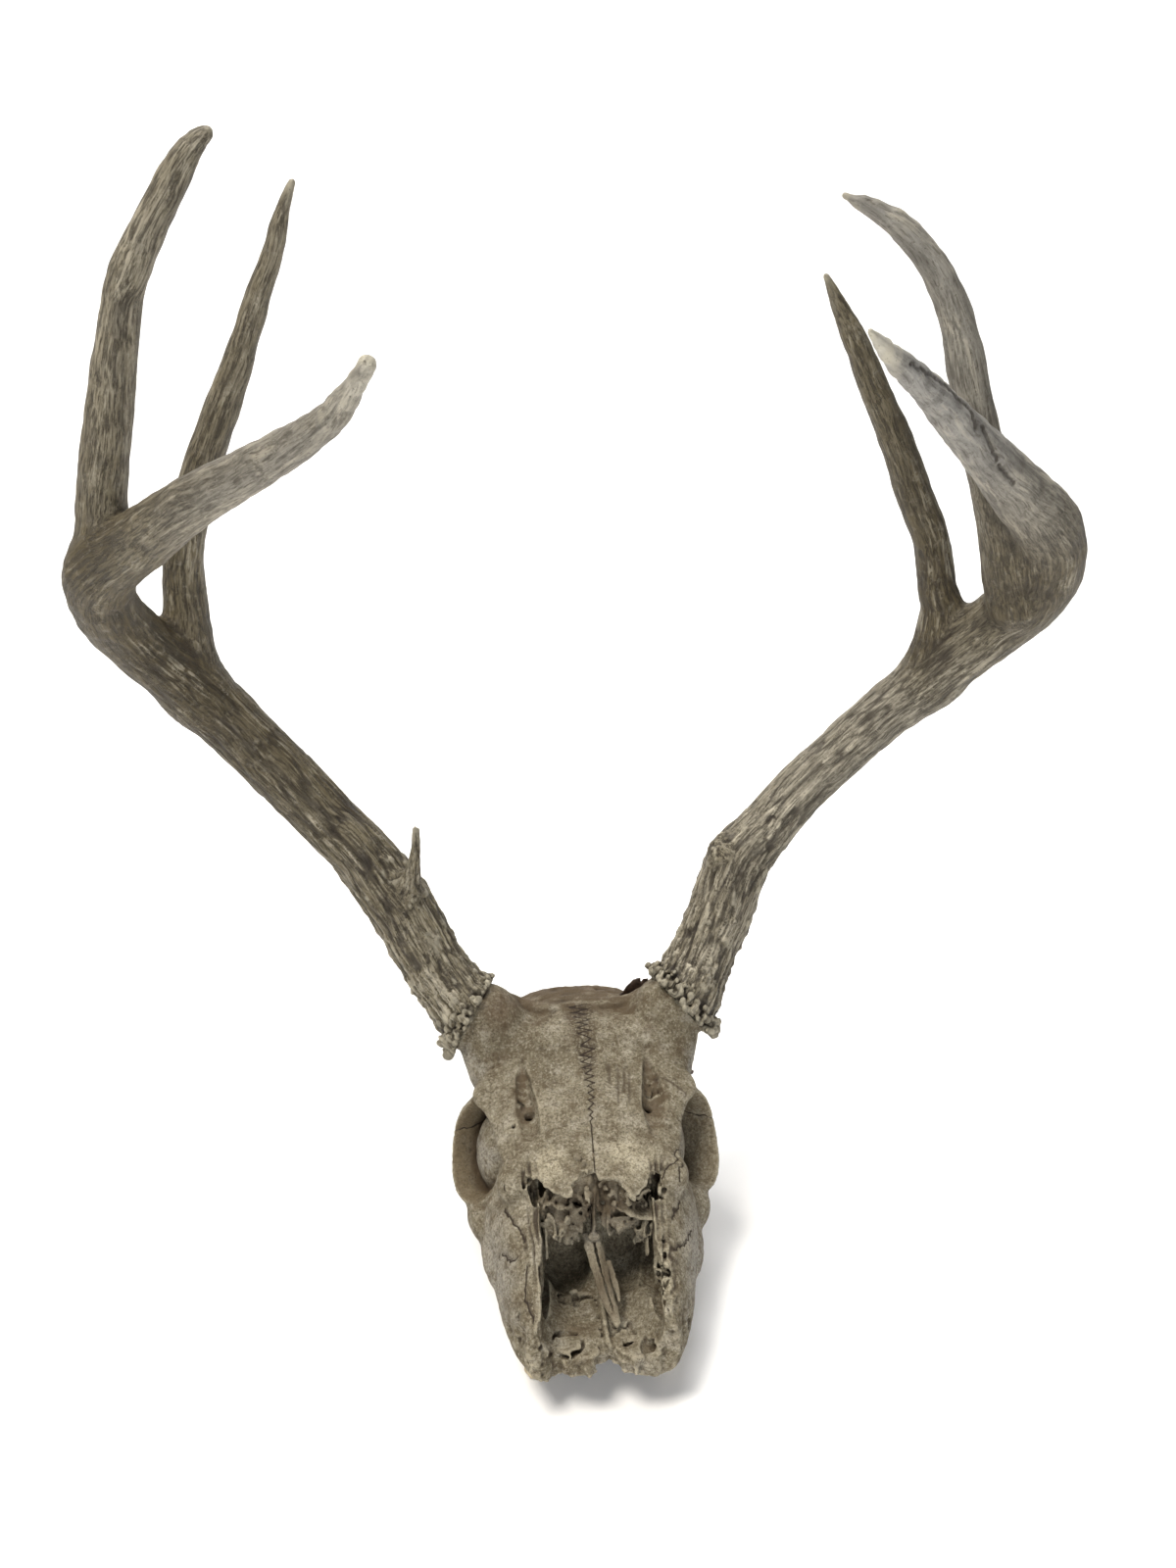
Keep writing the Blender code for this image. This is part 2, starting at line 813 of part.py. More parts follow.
def branch(name, rows, collection, count=16):
    """A round tapering branch with shallow lengthwise ridges, through rows of (x, ahead, up, radius)."""
    rows = smooth_rows(rows, 3)
    centres = [spot(*row[:3]) for row in rows]
    across = Vector((0, 1, 0))
    run = 0.0
    rings = []
    for i, (centre, row) in enumerate(zip(centres, rows)):
        along = (centres[min(i + 1, len(rows) - 1)] - centres[max(i - 1, 0)]).normalized()
        across = (across - along * across.dot(along)).normalized()
        beside = along.cross(across)
        run += (centre - centres[max(i - 1, 0)]).length / MM
        ring = []
        for k in range(count):
            turn = 2 * math.pi * k / count
            ridge = 1 + 0.035 * math.cos(5 * turn + 0.02 * run) + 0.02 * math.sin(3 * turn - 0.05 * run)
            ring.append(centre + (across * math.cos(turn) + beside * math.sin(turn)) * row[3] * ridge * MM)
        rings.append(ring)
    return mesh_object(name, rings_to_shape(rings), collection)


def burr(side, collection):
    """The ring of knobs round an antler's base."""
    axis = heading(*BURR_TILT[side])
    across = axis.orthogonal().normalized()
    beside = axis.cross(across)
    centre = spot(*beside_burr(side, 2.0))
    made = []
    for i in range(KNOBS):
        turn = 2 * math.pi * i / KNOBS
        size = 3.9 + 0.7 * math.sin(2.3 * i)
        reach = BURR_RADIUS[side] + 0.6 * math.cos(3.7 * i)
        knob = lump(f"knob_{side}_{i}", (0, 0, 0), (size, size * 0.9, size * 0.85), collection)
        place = centre + (across * math.cos(turn) + beside * math.sin(turn)) * reach * MM
        knob.data.transform(Matrix.Translation(place - spot(0, 0, 0)))
        made.append(knob)
    return made


def nearest_part(obj, parts, place):
    """Which of an object's loose parts has the vertex nearest to a place."""
    goal = spot(*place)
    verts = obj.data.vertices
    return min(parts, key=lambda part: min((verts[i].co - goal).length for i in part))


def split_antler(antler, side, collection, material):
    """Each loose part of a cut antler as an object of its own."""
    parts = loose_parts(antler)
    for piece, place in PIECE_PLACES[side].items():
        keep = nearest_part(antler, parts, place)
        shape = bmesh.new()
        shape.from_mesh(antler.data)
        shape.verts.ensure_lookup_table()
        bmesh.ops.delete(shape, geom=[v for v in shape.verts if v.index not in keep], context="VERTS")
        finish(mesh_object(f"{side}_antler_{piece}", shape, collection), material)
    bpy.data.objects.remove(antler, do_unlink=True)


def make_antler(side, collection, work, material):
    branches = [branch(f"{side}_{name}", rows, work) for name, rows in BRANCHES[side].items()]
    antler = fuse(f"{side}_antler", branches + burr(side, work), ANTLER_VOXEL, work)
    relax(antler, 2)
    thin_out(antler, ANTLER_TRIANGLES[side])
    cut(antler, burr_knife(side, -1, work))
    for place, way, radius in FORK_CUTS[side]:
        cut(antler, disc("saw", place, way, radius, GAP, work))
    split_antler(antler, side, collection, material)


def socket_cutters(work):
    """What is cut from the jaws for each tooth, a gap wider than the tooth all round."""
    for name, length, width, ahead, middle in tooth_places():
        yield mesh_object(f"socket_{name}", tooth_shape(length, width, ahead, middle, GAP), work)


def rest_cutter(work):
    """What is worn off below the crowns of the teeth, where the skull's rear stands."""
    outline = ((-60, -10), (60, -10), (60, 60), (-60, 60))
    return prism("rest_cutter", outline, -20, 0, work)


def make_skull(collection, work, material):
    core = fuse("core", [braincase(work), face(work), *skull_base(work)], SKULL_VOXEL, work)
    for cutter in (nose_cutter(work), palate_cutter(work), broken_front_cutter(work), *hollow_cutters(work)):
        cut(core, cutter)
    plate = forehead_plate(work)
    for cutter in (broken_forehead_cutter(work), *groove_cutters(work)):
        cut(plate, cutter)
    skull = fuse("skull", [core, plate, *stalks(work), *cheeks(work), *nose_scrolls(work)], SKULL_VOXEL, work)
    largest_body(skull)
    relax(skull, 4)
    thin_out(skull, SKULL_TRIANGLES)
    for side in SIDES:
        cut(skull, burr_knife(side, 1, work))
    for cutter in (*socket_cutters(work), hide_scrap("scrap_socket", GAP, work), rest_cutter(work)):
        cut(skull, cutter)
    collection.objects.link(skull)
    work.objects.unlink(skull)
    finish(skull, material)


def hide_scrap(name, grow, collection):
    """A dry curled flake that stands on the braincase behind the left stalk."""
    rows = ((22, 57, 101, 4, 1.0), (28, 53, 101.5, 7, 1.3), (34, 53, 101, 9.5, 1.3), (39, 56, 98, 5, 1.0))
    grown = [(x, ahead, up, half + grow, thick + grow) for x, ahead, up, half, thick in rows]
    return strap(name, grown, heading(0, 0, 1), collection, steps=2, count=8)


def main():
    clear_scene()
    collection = new_collection("whitetail_deer_skull")
    work = new_collection("cutters", helper=True)
    bone = plain_material("Weathered bone", (0.42, 0.37, 0.29), 0.75)
    antler = plain_material("Weathered antler", (0.27, 0.235, 0.18), 0.7)
    hide = plain_material("Dried hide", (0.05, 0.035, 0.025), 0.8)
    enamel = plain_material("Worn tooth", (0.5, 0.42, 0.28), 0.4)
    make_skull(collection, work, bone)
    for side in SIDES:
        make_antler(side, collection, work, antler)
    make_teeth(collection, enamel)
    finish(hide_scrap("dried_hide_scrap", 0.0, collection), hide)


main()
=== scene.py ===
"""A whitetail buck's skull with its antlers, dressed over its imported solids.

Lengths on the skull are in millimetres, and places are (x, ahead, up): x from the skull's middle
plane towards its left, ahead from the back of the skull towards the nose, and up from the flat
crowns of the cheek teeth. place() turns them into the frame's metres. Each form is a distance from
its surface, negative inside, and forms are joined and carved on a fine grid of such distances.
"""

import math
from collections import namedtuple

import bpy
import numpy as np
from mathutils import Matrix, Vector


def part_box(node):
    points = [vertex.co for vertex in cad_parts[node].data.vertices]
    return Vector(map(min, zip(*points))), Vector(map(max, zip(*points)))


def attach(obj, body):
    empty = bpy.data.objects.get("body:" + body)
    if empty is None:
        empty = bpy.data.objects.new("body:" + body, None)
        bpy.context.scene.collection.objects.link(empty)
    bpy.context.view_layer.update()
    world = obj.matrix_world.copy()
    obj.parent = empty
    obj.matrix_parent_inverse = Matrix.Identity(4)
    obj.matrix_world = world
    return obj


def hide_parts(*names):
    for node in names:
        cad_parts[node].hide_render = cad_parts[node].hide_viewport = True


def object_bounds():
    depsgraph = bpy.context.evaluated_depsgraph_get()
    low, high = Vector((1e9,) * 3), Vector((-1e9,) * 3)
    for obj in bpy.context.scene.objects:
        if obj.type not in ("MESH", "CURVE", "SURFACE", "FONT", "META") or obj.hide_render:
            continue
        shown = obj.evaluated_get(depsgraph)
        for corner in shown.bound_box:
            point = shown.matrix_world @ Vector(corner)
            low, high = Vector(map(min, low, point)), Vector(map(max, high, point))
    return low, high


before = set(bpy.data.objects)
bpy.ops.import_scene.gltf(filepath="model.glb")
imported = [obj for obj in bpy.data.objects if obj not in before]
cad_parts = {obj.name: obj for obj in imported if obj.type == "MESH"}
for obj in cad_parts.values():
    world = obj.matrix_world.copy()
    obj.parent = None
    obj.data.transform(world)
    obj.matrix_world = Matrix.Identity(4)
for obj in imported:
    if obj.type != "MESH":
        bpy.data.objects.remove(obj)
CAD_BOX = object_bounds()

import openvdb
from mathutils import Matrix, Vector

MM = 0.001
# Distances are followed no further from a surface than this.
FAR = 9.0
TINY = 1e-6
SIDES = {"right": -1, "left": 1}

# The skull's middle plane and back in the frame, from the first molars and the front of the tooth row.
TOOTH_ROW_FRONT = 184.0
FIRST_MOLARS = [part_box(f"{side}_first_molar") for side in SIDES]
MIDDLE_X = sum(corner.x for box in FIRST_MOLARS for corner in box) / 4
BACK_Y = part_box("left_second_premolar")[0].y + TOOTH_ROW_FRONT * MM

# Driving dimensions of the skull.
SKULL_STEP = 0.65
SKULL_TRIANGLES = 190000
FOREHEAD_TOP = 109.0
FOREHEAD_SLOPE = 0.27
FOREHEAD_REAR = 67.0
ORBIT = (47.0, 118.0, 69.0)
FACE_LEAN = 0.2

# How far round a point crevices, hollows and sheltered places are looked for, to paint shade in them.
CREVICE_REACH = 1.6
HOLLOW_REACH = 3.6
SHELTER_REACH = 8.0

# Driving dimensions of the antlers.
ANTLER_STEP = 0.68
ANTLER_TRIANGLES = 190000
BURR_TILT = {"right": (-0.87, -0.27, 0.42), "left": (0.75, -0.27, 0.60)}
BURR_RADIUS = {"right": 18.5, "left": 20.0}
BURR_CENTRE = {"right": (-49, 70, 106.5), "left": (47, 69, 108)}
STALK_RADIUS = 16.5


def place(points):
    """Places on the skull as points of the frame, in metres."""
    points = np.asarray(points, float)
    return np.stack(
        [MIDDLE_X + points[..., 0] * MM, BACK_Y - points[..., 1] * MM, points[..., 2] * MM], axis=-1
    )


def skull_frame(points):
    """Points of the frame as places on the skull, in millimetres."""
    return np.stack(
        [(points[..., 0] - MIDDLE_X) / MM, (BACK_Y - points[..., 1]) / MM, points[..., 2] / MM], axis=-1
    )


def unit(vector):
    """Vectors of length 1."""
    vector = np.asarray(vector, float)
    return vector / np.maximum(np.linalg.norm(vector, axis=-1, keepdims=True), 1e-9)


# Random values and noise.

LATTICE_CELLS = 32
LATTICES = {}


def noise(points, size, seed):
    """Smooth random values from -1 to 1 at points, in bumps about size apart."""
    if seed not in LATTICES:
        cells = (LATTICE_CELLS,) * 3
        LATTICES[seed] = np.random.default_rng(seed).uniform(-1, 1, cells).astype(np.float32)
    table = LATTICES[seed]
    scaled = np.asarray(points, np.float32) / np.float32(size)
    base = np.floor(scaled)
    part = scaled - base
    part = part * part * (3 - 2 * part)
    base = base.astype(np.int32)
    total = np.zeros(scaled.shape[:-1], np.float32)
    for corner in np.ndindex(2, 2, 2):
        weight = np.ones(scaled.shape[:-1], np.float32)
        for axis, high in enumerate(corner):
            weight *= part[..., axis] if high else 1 - part[..., axis]
        index = (base + np.array(corner, np.int32)) % LATTICE_CELLS
        total += weight * table[index[..., 0], index[..., 1], index[..., 2]]
    return total


def rough(points, size, seed, octaves=3):
    """Noise with finer noise on top of it."""
    total = 0
    for i in range(octaves):
        total = total + noise(points + 7.3 * i, size / 2**i, seed + i) / 1.7**i
    return total / 1.6


# Forms, as distances from their surfaces.

Form = namedtuple("Form", "low high distance")


def smooth_rows(rows, steps):
    """Rows of numbers with more rows between them, on a Catmull-Rom curve."""
    rows = np.asarray(rows, float)
    ends = np.concatenate([rows[:1], rows, rows[-1:]])
    found = []
    for p, q, r, s in zip(ends, ends[1:], ends[2:], ends[3:]):
        for step in range(steps):
            t = step / steps
            second, third = 2 * p - 5 * q + 4 * r - s, 3 * q - p - 3 * r + s
            found.append(0.5 * (2 * q + (r - p) * t + second * t**2 + third * t**3))
    found.append(rows[-1])
    return np.array(found)


def spots_of(x, ahead, up):
    """The places of a grid that is given as three crossing axes."""
    return np.stack(np.broadcast_arrays(x, ahead, up), axis=-1)


def cut_out(grid, low, high):
    """The part of a grid between two corners: its place in the grid and its three axes."""
    cut = tuple(slice(*np.searchsorted(axis.ravel(), ends)) for axis, *ends in zip(grid, low, high))
    x, ahead, up = grid
    return cut, (x[cut[0]], ahead[:, cut[1]], up[:, :, cut[2]])


def blended(old, new, blend):
    """The lower of two distances, with a fillet about as wide as blend."""
    mix = np.clip(0.5 + 0.5 * (old - new) / blend, 0, 1)
    return old + (new - old) * mix - blend * mix * (1 - mix)


def round_distance(shares):
    """The distance to an ellipsoid, from how far out a place is along each half-axis, as (share, half)."""
    square, slope = 0, 0
    for share, half in shares:
        square = square + share**2
        slope = slope + (share / half) ** 2
    size = np.sqrt(square) + TINY
    return (size - 1) * size / (np.sqrt(slope) + TINY)


def lump(centre, radii, turn=(0.0, 0.0, 0.0)):
    """An ellipsoid, turned about X, ahead and up in degrees."""
    spin = Matrix.Identity(3)
    for angle, axis in zip(turn, "XYZ"):
        spin = Matrix.Rotation(math.radians(angle), 3, axis) @ spin
    spin = np.array(spin, np.float32)
    reach = max(radii)
    centre = np.asarray(centre, np.float32)

    def distance(x, ahead, up):
        away = (x - centre[0], ahead - centre[1], up - centre[2])
        return round_distance(
            (sum(spin[j, i] * away[j] for j in range(3)) / radius, radius) for i, radius in enumerate(radii)
        )

    return Form(centre - reach, centre + reach, distance)


def band(rows, wide_way, steps=3):
    """A flat band along rows of (x, ahead, up, half_width, half_thickness), wide along wide_way."""
    rows = smooth_rows(rows, steps)
    centres, halves = rows[:, :3], rows[:, 3:5]
    along = unit(np.gradient(centres, axis=0))
    wide_way = unit(wide_way)
    wide = unit(wide_way - along * (along @ wide_way)[:, None])
    thin = np.cross(along, wide)
    reach = halves.max(axis=1, keepdims=True)
    margin = 6.0

    def distance(x, ahead, up):
        found = np.full(np.broadcast_shapes(x.shape, ahead.shape, up.shape), FAR, np.float32)
        for i in range(len(rows) - 1):
            low = np.minimum(centres[i], centres[i + 1]) - reach[i] - margin
            high = np.maximum(centres[i], centres[i + 1]) + reach[i] + margin
            cut, spots = cut_out((x, ahead, up), low, high)
            if not all(axis.size for axis in spots):
                continue
            away = [axis - centres[i][k] for k, axis in enumerate(spots)]
            run = centres[i + 1] - centres[i]
            t = np.clip(sum(away[k] * run[k] for k in range(3)) / (run @ run), 0, 1)
            away = [away[k] - t * run[k] for k in range(3)]
            ways = (
                (wide[i] + wide[i + 1], halves[i][0] + t * (halves[i + 1][0] - halves[i][0])),
                (thin[i] + thin[i + 1], halves[i][1] + t * (halves[i + 1][1] - halves[i][1])),
                (along[i] + along[i + 1], halves[i][1]),
            )
            part = round_distance(
                (sum(gap * step for gap, step in zip(away, unit(way))) / half, half) for way, half in ways
            )
            found[cut] = np.minimum(found[cut], part)
        return found

    return Form((centres - reach).min(axis=0), (centres + reach).max(axis=0), distance)


def loft(stations, under=3.0, over=2.4, crown=0.0):
    """A long body through stations of (ahead, half_width, low, widest, high).

    It is squarer as under and over grow, and its middle stands up by crown.
    """
    rows = smooth_rows(stations, 4)
    first, last = rows[0, 0], rows[-1, 0]
    half_most, low_most, high_most = rows[:, 1].max(), rows[:, 2].min(), rows[:, 4].max()

    def distance(x, ahead, up):
        half, low, widest, high = (np.interp(ahead, rows[:, 0], rows[:, k]) for k in range(1, 5))
        across = np.abs(x / half)
        rise = up + crown * across**2 - widest
        high_side = (across ** over + np.abs(rise / (high - widest)) ** over) ** (1 / over)
        low_side = (across ** under + np.abs(rise / (widest - low)) ** under) ** (1 / under)
        share = (np.where(rise > 0, high_side, low_side) - 1).astype(np.float32)
        slopes = [
            np.gradient(share, float(axis.ravel()[1] - axis.ravel()[0]), axis=k) if axis.size > 2 else 0
            for k, axis in enumerate((x, ahead, up))
        ]
        # The added 0.004 keeps the distance finite on the body's axis.
        steep = np.sqrt(sum(slope**2 for slope in slopes)) + 0.004
        return np.maximum(np.clip(share / steep, -FAR, FAR), np.maximum(first - ahead, ahead - last))

    low = np.array([-half_most, first, low_most - crown])
    return Form(low, np.array([half_most, last, high_most]), distance)


def outline_distance(x, ahead, outline):
    """How far places on the level are from a closed outline of (x, ahead), negative inside."""
    nearest = np.full(np.broadcast_shapes(x.shape, ahead.shape), 1e9, np.float32)
    inside = np.zeros(nearest.shape, bool)
    for (x0, a0), (x1, a1) in zip(outline, (*outline[1:], outline[0])):
        run = (x1 - x0, a1 - a0)
        t = np.clip(((x - x0) * run[0] + (ahead - a0) * run[1]) / (run[0] ** 2 + run[1] ** 2), 0, 1)
        nearest = np.minimum(nearest, (x - x0 - t * run[0]) ** 2 + (ahead - a0 - t * run[1]) ** 2)
        crosses = (a0 > ahead) != (a1 > ahead)
        inside ^= crosses & (x < x0 + (ahead - a0) * run[0] / (run[1] or 1e-9))
    return np.where(inside, -1, 1) * np.sqrt(nearest)


def upright(outline, low, high, lean=0.0, pivot=0.0, ragged=0.0):
    """A prism on an outline of (x, ahead), leaning back by lean for each unit above pivot."""
    corners = np.array(outline, float)
    pitch = 0.5

    def distance(x, ahead, up):
        slid = ahead + lean * (up - pivot)
        fine = np.arange(slid.min(), slid.max() + pitch, pitch)
        table = outline_distance(x[:, :, 0], fine[None, :], outline).astype(np.float32)
        at = (slid - fine[0]) / pitch
        base = np.minimum(at.astype(int), len(fine) - 2)
        part = (at - base).astype(np.float32)
        side = table[:, base[0]] * (1 - part) + table[:, base[0] + 1] * part
        if ragged:
            spots = spots_of(x, ahead, up)
            side = side + ragged * (noise(spots, 3.1, 5) + 0.6 * noise(spots, 1.5, 6))
        return np.maximum(side, np.maximum(low - up, up - high))

    slide = max(lean * (high - pivot), lean * (low - pivot), 0)
    return Form(
        np.array([corners[:, 0].min(), corners[:, 1].min() - slide, low]),
        np.array([corners[:, 0].max(), corners[:, 1].max(), high]),
        distance,
    )


def beside(form, sign):
    """A form written for the left side, put on the side that sign gives."""
    if sign > 0:
        return form
    ends = np.stack([form.low, form.high]) * (-1, 1, 1)
    return Form(
        ends.min(axis=0), ends.max(axis=0), lambda x, ahead, up: form.distance(-x[::-1], ahead, up)[::-1]
    )


class Block:
    """A block of space whose samples hold the distance to a surface, negative inside."""

    def __init__(self, low, high, step):
        self.low = np.asarray(low, float)
        self.step = step
        counts = np.ceil((np.asarray(high) - self.low) / step).astype(int) + 1
        self.axes = [(low + step * np.arange(n)).astype(np.float32) for low, n in zip(self.low, counts)]
        self.field = np.full(tuple(counts), FAR, np.float32)

    def grid(self):
        """The block's three axes, shaped to cross one another."""
        x, ahead, up = self.axes
        return x[:, None, None], ahead[None, :, None], up[None, None, :]

    def window(self, form, margin):
        """The samples round a form: their place in the field and their three axes."""
        low, high = [end - margin for end in form.low], [end + margin for end in form.high]
        return cut_out(self.grid(), low, high)

    def join(self, form, blend=1.5):
        """Adds a form, with a fillet about as wide as blend."""
        cut, grid = self.window(form, blend + 2)
        self.field[cut] = blended(self.field[cut], form.distance(*grid), blend)

    def carve(self, form, blend=1.0):
        """Takes a form away, with its edge rounded by about blend."""
        cut, grid = self.window(form, blend + 2)
        self.field[cut] = -blended(-self.field[cut], form.distance(*grid), blend)

    def at(self, values, points):
        """Samples of an array of the block's shape, at points."""
        where = (points - self.low) / self.step
        where = np.clip(where, 0, np.array(values.shape) - 1.001)
        base = where.astype(int)
        part = (where - base).astype(np.float32)
        total = 0
        for corner in np.ndindex(2, 2, 2):
            weight = 1
            for axis, high in enumerate(corner):
                weight = weight * (part[:, axis] if high else 1 - part[:, axis])
            index = base + np.array(corner)
            total = total + weight * values[index[:, 0], index[:, 1], index[:, 2]]
        return total

    def crowding(self, reach):
        """How much of a cube of that half-width round each sample is solid, from 0 to 1."""
        solid = (self.field < 0).astype(np.float32)
        width = max(int(round(reach / self.step)), 1)
        for axis in range(3):
            padded = [(0, 0)] * 3
            padded[axis] = (width + 1, width)
            total = np.cumsum(np.pad(solid, padded, mode="edge"), axis=axis, dtype=np.float32)
            ahead = np.take(total, range(2 * width + 1, total.shape[axis]), axis=axis)
            behind = np.take(total, range(total.shape[axis] - 2 * width - 1), axis=axis)
            solid = (ahead - behind) / (2 * width + 1)
        return solid

    def skin(self, name):
        """An object with the block's surface, its faces turned out."""
        grid = openvdb.FloatGrid(FAR)
        grid.copyFromArray(np.clip(self.field, -FAR, FAR))
        points, quads = grid.convertToQuads(isovalue=0.0)
        return new_piece(name, place(points * self.step + self.low), quads[:, ::-1].astype(np.int32))


# Meshes.


def new_piece(name, points, faces):
    """An object from points of the frame and faces of four corners."""
    mesh = bpy.data.meshes.new(name)
    mesh.vertices.add(len(points))
    mesh.vertices.foreach_set("co", np.asarray(points, np.float32).ravel())
    mesh.loops.add(faces.size)
    mesh.loops.foreach_set("vertex_index", faces.ravel())
    mesh.polygons.add(len(faces))
    mesh.polygons.foreach_set("loop_start", np.arange(0, faces.size, faces.shape[1], dtype=np.int32))
    mesh.update(calc_edges=True)
    obj = bpy.data.objects.new(name, mesh)
    bpy.context.scene.collection.objects.link(obj)
    return obj


def bake(obj):
    """Applies an object's modifiers."""
    graph = bpy.context.evaluated_depsgraph_get()
    mesh = bpy.data.meshes.new_from_object(obj.evaluated_get(graph), depsgraph=graph)
    obj.modifiers.clear()
    obj.data = mesh


def numbers(obj, what):
    """The points or normals of an object's mesh."""
    values = np.empty(len(obj.data.vertices) * 3, np.float32)
    if what == "normal":
        obj.data.vertex_normals.foreach_get("vector", values)
    else:
        obj.data.vertices.foreach_get("co", values)
    return values.reshape(-1, 3)


def skull_points(obj):
    """An object's points as places on the skull, in millimetres."""
    return skull_frame(numbers(obj, "co"))


def facing_up(obj):
    """How much each point of an object faces up, from 0 to 1."""
    return np.clip(numbers(obj, "normal")[:, 2] * 2.5, 0, 1)


def thin_out(obj, triangles):
    """Fewer triangles, with the most where the form is fine. Each four-sided face is two of them."""
    now = 2 * len(obj.data.polygons)
    if now > triangles:
        fewer = obj.modifiers.new("Thin out", "DECIMATE")
        fewer.ratio = triangles / now
        bake(obj)


def put_points(obj, points):
    """Gives a mesh its points, kept inside the box of the solids."""
    obj.data.vertices.foreach_set("co", np.clip(points, *CAD_BOX).astype(np.float32).ravel())
    obj.data.update()


def press(obj, amount):
    """Moves each point along its normal by its own amount, in millimetres."""
    put_points(obj, numbers(obj, "co") + numbers(obj, "normal") * (np.asarray(amount)[:, None] * MM))


def note(obj, name, values):
    """Keeps a number for each point of a mesh, which its material reads by name."""
    values = np.asarray(values, np.float32)
    kind = "FLOAT" if values.ndim == 1 else "FLOAT_VECTOR"
    attribute = obj.data.attributes.new(name, kind, "POINT")
    attribute.data.foreach_set("value" if values.ndim == 1 else "vector", values.ravel())


def settle(obj, material, slot, *nodes):
    """Finishes a piece: its material, smooth shading, the body it rides on and the solids it stands for."""
    put_points(obj, numbers(obj, "co"))
    obj.data.materials.clear()
    obj.data.materials.append(material)
    obj.data.shade_smooth()
    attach(obj, "root")
    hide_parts(*nodes)


# Skull.


def forehead(ahead):
    """The height of the forehead's middle line."""
    return FOREHEAD_TOP - FOREHEAD_SLOPE * (ahead - FOREHEAD_REAR)


def braincase():
    """The case behind the face, from the rear of the skull to the nose."""
    return loft(
        (
            (5, 24, 44, 58, 68),
            (9, 31, 38, 60, 75),
            (18, 35, 36, 61, 83),
            (30, 37.5, 36, 63, 93),
            (42, 39.5, 36, 65, 102.5),
            (55, 39.5, 38, 67, 109),
            (68, 36, 40, 70, 108.5),
            (82, 28, 44, 72, 101),
            (98, 19, 48, 72, 97),
            (112, 15, 48, 72, 92),
            (136, 16, 46, 70, 84),
        ),
        under=2.4,
        over=2.7,
    )


def frontals():
    """The two frontals as one crowned plate, widest at the rear corners of the eye sockets."""
    rows = []
    for ahead, half, thick in (
        (56, 28, 8),
        (64, 36, 12),
        (74, 43, 15),
        (86, 46, 15),
        (96, 47.5, 13),
        (104, 49.8, 9),
        (109, 49.5, 8),
        (114, 45.5, 8),
        (121, 42, 9),
        (128, 40.5, 10),
        (136, 39, 9),
        (143, 36.5, 6),
        (150, 33, 4),
        (158, 29, 2.8),
        (167, 24, 2.2),
        (175, 18, 2.0),
    ):
        top = forehead(max(ahead, FOREHEAD_REAR)) - 0.25 * max(FOREHEAD_REAR - ahead, 0)
        rows.append((ahead, half, top - thick, top - 0.45 * thick, top))
    return loft(rows, under=3.0, over=3.0, crown=6.5)


def upper_jaws():
    """The face below the frontals, from the palate's rear to the broken front."""
    return loft(
        (
            (110, 34, 16, 38, 60),
            (118, 41, 12.5, 39, 70),
            (128, 45.5, 12, 39, 77),
            (138, 47, 12, 39, 82),
            (150, 45.5, 12, 39, 81),
            (163, 43, 12, 37, 76.5),
            (176, 40.5, 12, 34, 70),
            (188, 37, 12, 31, 62),
            (198, 32.5, 14.5, 30, 54),
            (208, 28, 19.5, 30, 46),
        ),
        under=3.6,
        over=2.3,
    )


def beside_burr(side, along):
    """A place on the axis of an antler's burr, past its centre by along."""
    return tuple(BURR_CENTRE[side] + along * unit(BURR_TILT[side]))


def stalk(side, sign):
    """The bone stalk that carries an antler."""
    rows = (
        (sign * 27, 84.8, 73.6, 18, 13),
        (sign * 36.3, 80.2, 85.3, 17, 13),
        (*beside_burr(side, -8), STALK_RADIUS, STALK_RADIUS),
        (*beside_burr(side, 0), STALK_RADIUS, STALK_RADIUS),
        (*beside_burr(side, 5), STALK_RADIUS, STALK_RADIUS),
    )
    return band(rows, (sign, 1, 0))


def eye_rim(sign):
    """The band of bone round an eye socket, its wide inner face turned to the eye."""
    rows = (
        (43.5, 100.5, 84, 8.0, 3.0),
        (48, 98.5, 76.5, 9.0, 2.8),
        (51, 99, 68.5, 9.0, 2.6),
        (52.5, 102.5, 60.5, 9.0, 2.6),
        (53, 107.5, 53.5, 9.0, 2.8),
        (52.5, 112.5, 49, 9.0, 3.0),
        (50.5, 117.5, 45.5, 9.0, 2.8),
        (47, 123.5, 45.5, 8.0, 2.8),
        (42, 128.5, 49.5, 7.0, 3.0),
        (38, 132, 57, 6, 3.5),
        (35, 134, 66, 6, 4.0),
        (33, 135, 76, 6, 4.0),
    )
    return beside(band(rows, (0.80, 0.55, 0.22)), sign)


def cheek_arch(sign):
    """The thin bar from the cheek back to the side of the braincase."""
    rows = (
        (48, 130, 42, 5.5, 3.5),
        (53, 117, 43.5, 5.5, 3.2),
        (55.5, 104, 47, 5.5, 3.0),
        (55.5, 91, 50, 5.5, 2.8),
        (53, 79, 52, 5.5, 2.8),
        (47, 67, 53, 5.5, 3.5),
        (36, 57, 55, 6.5, 6.0),
    )
    return beside(band(rows, (0, 0, 1)), sign)


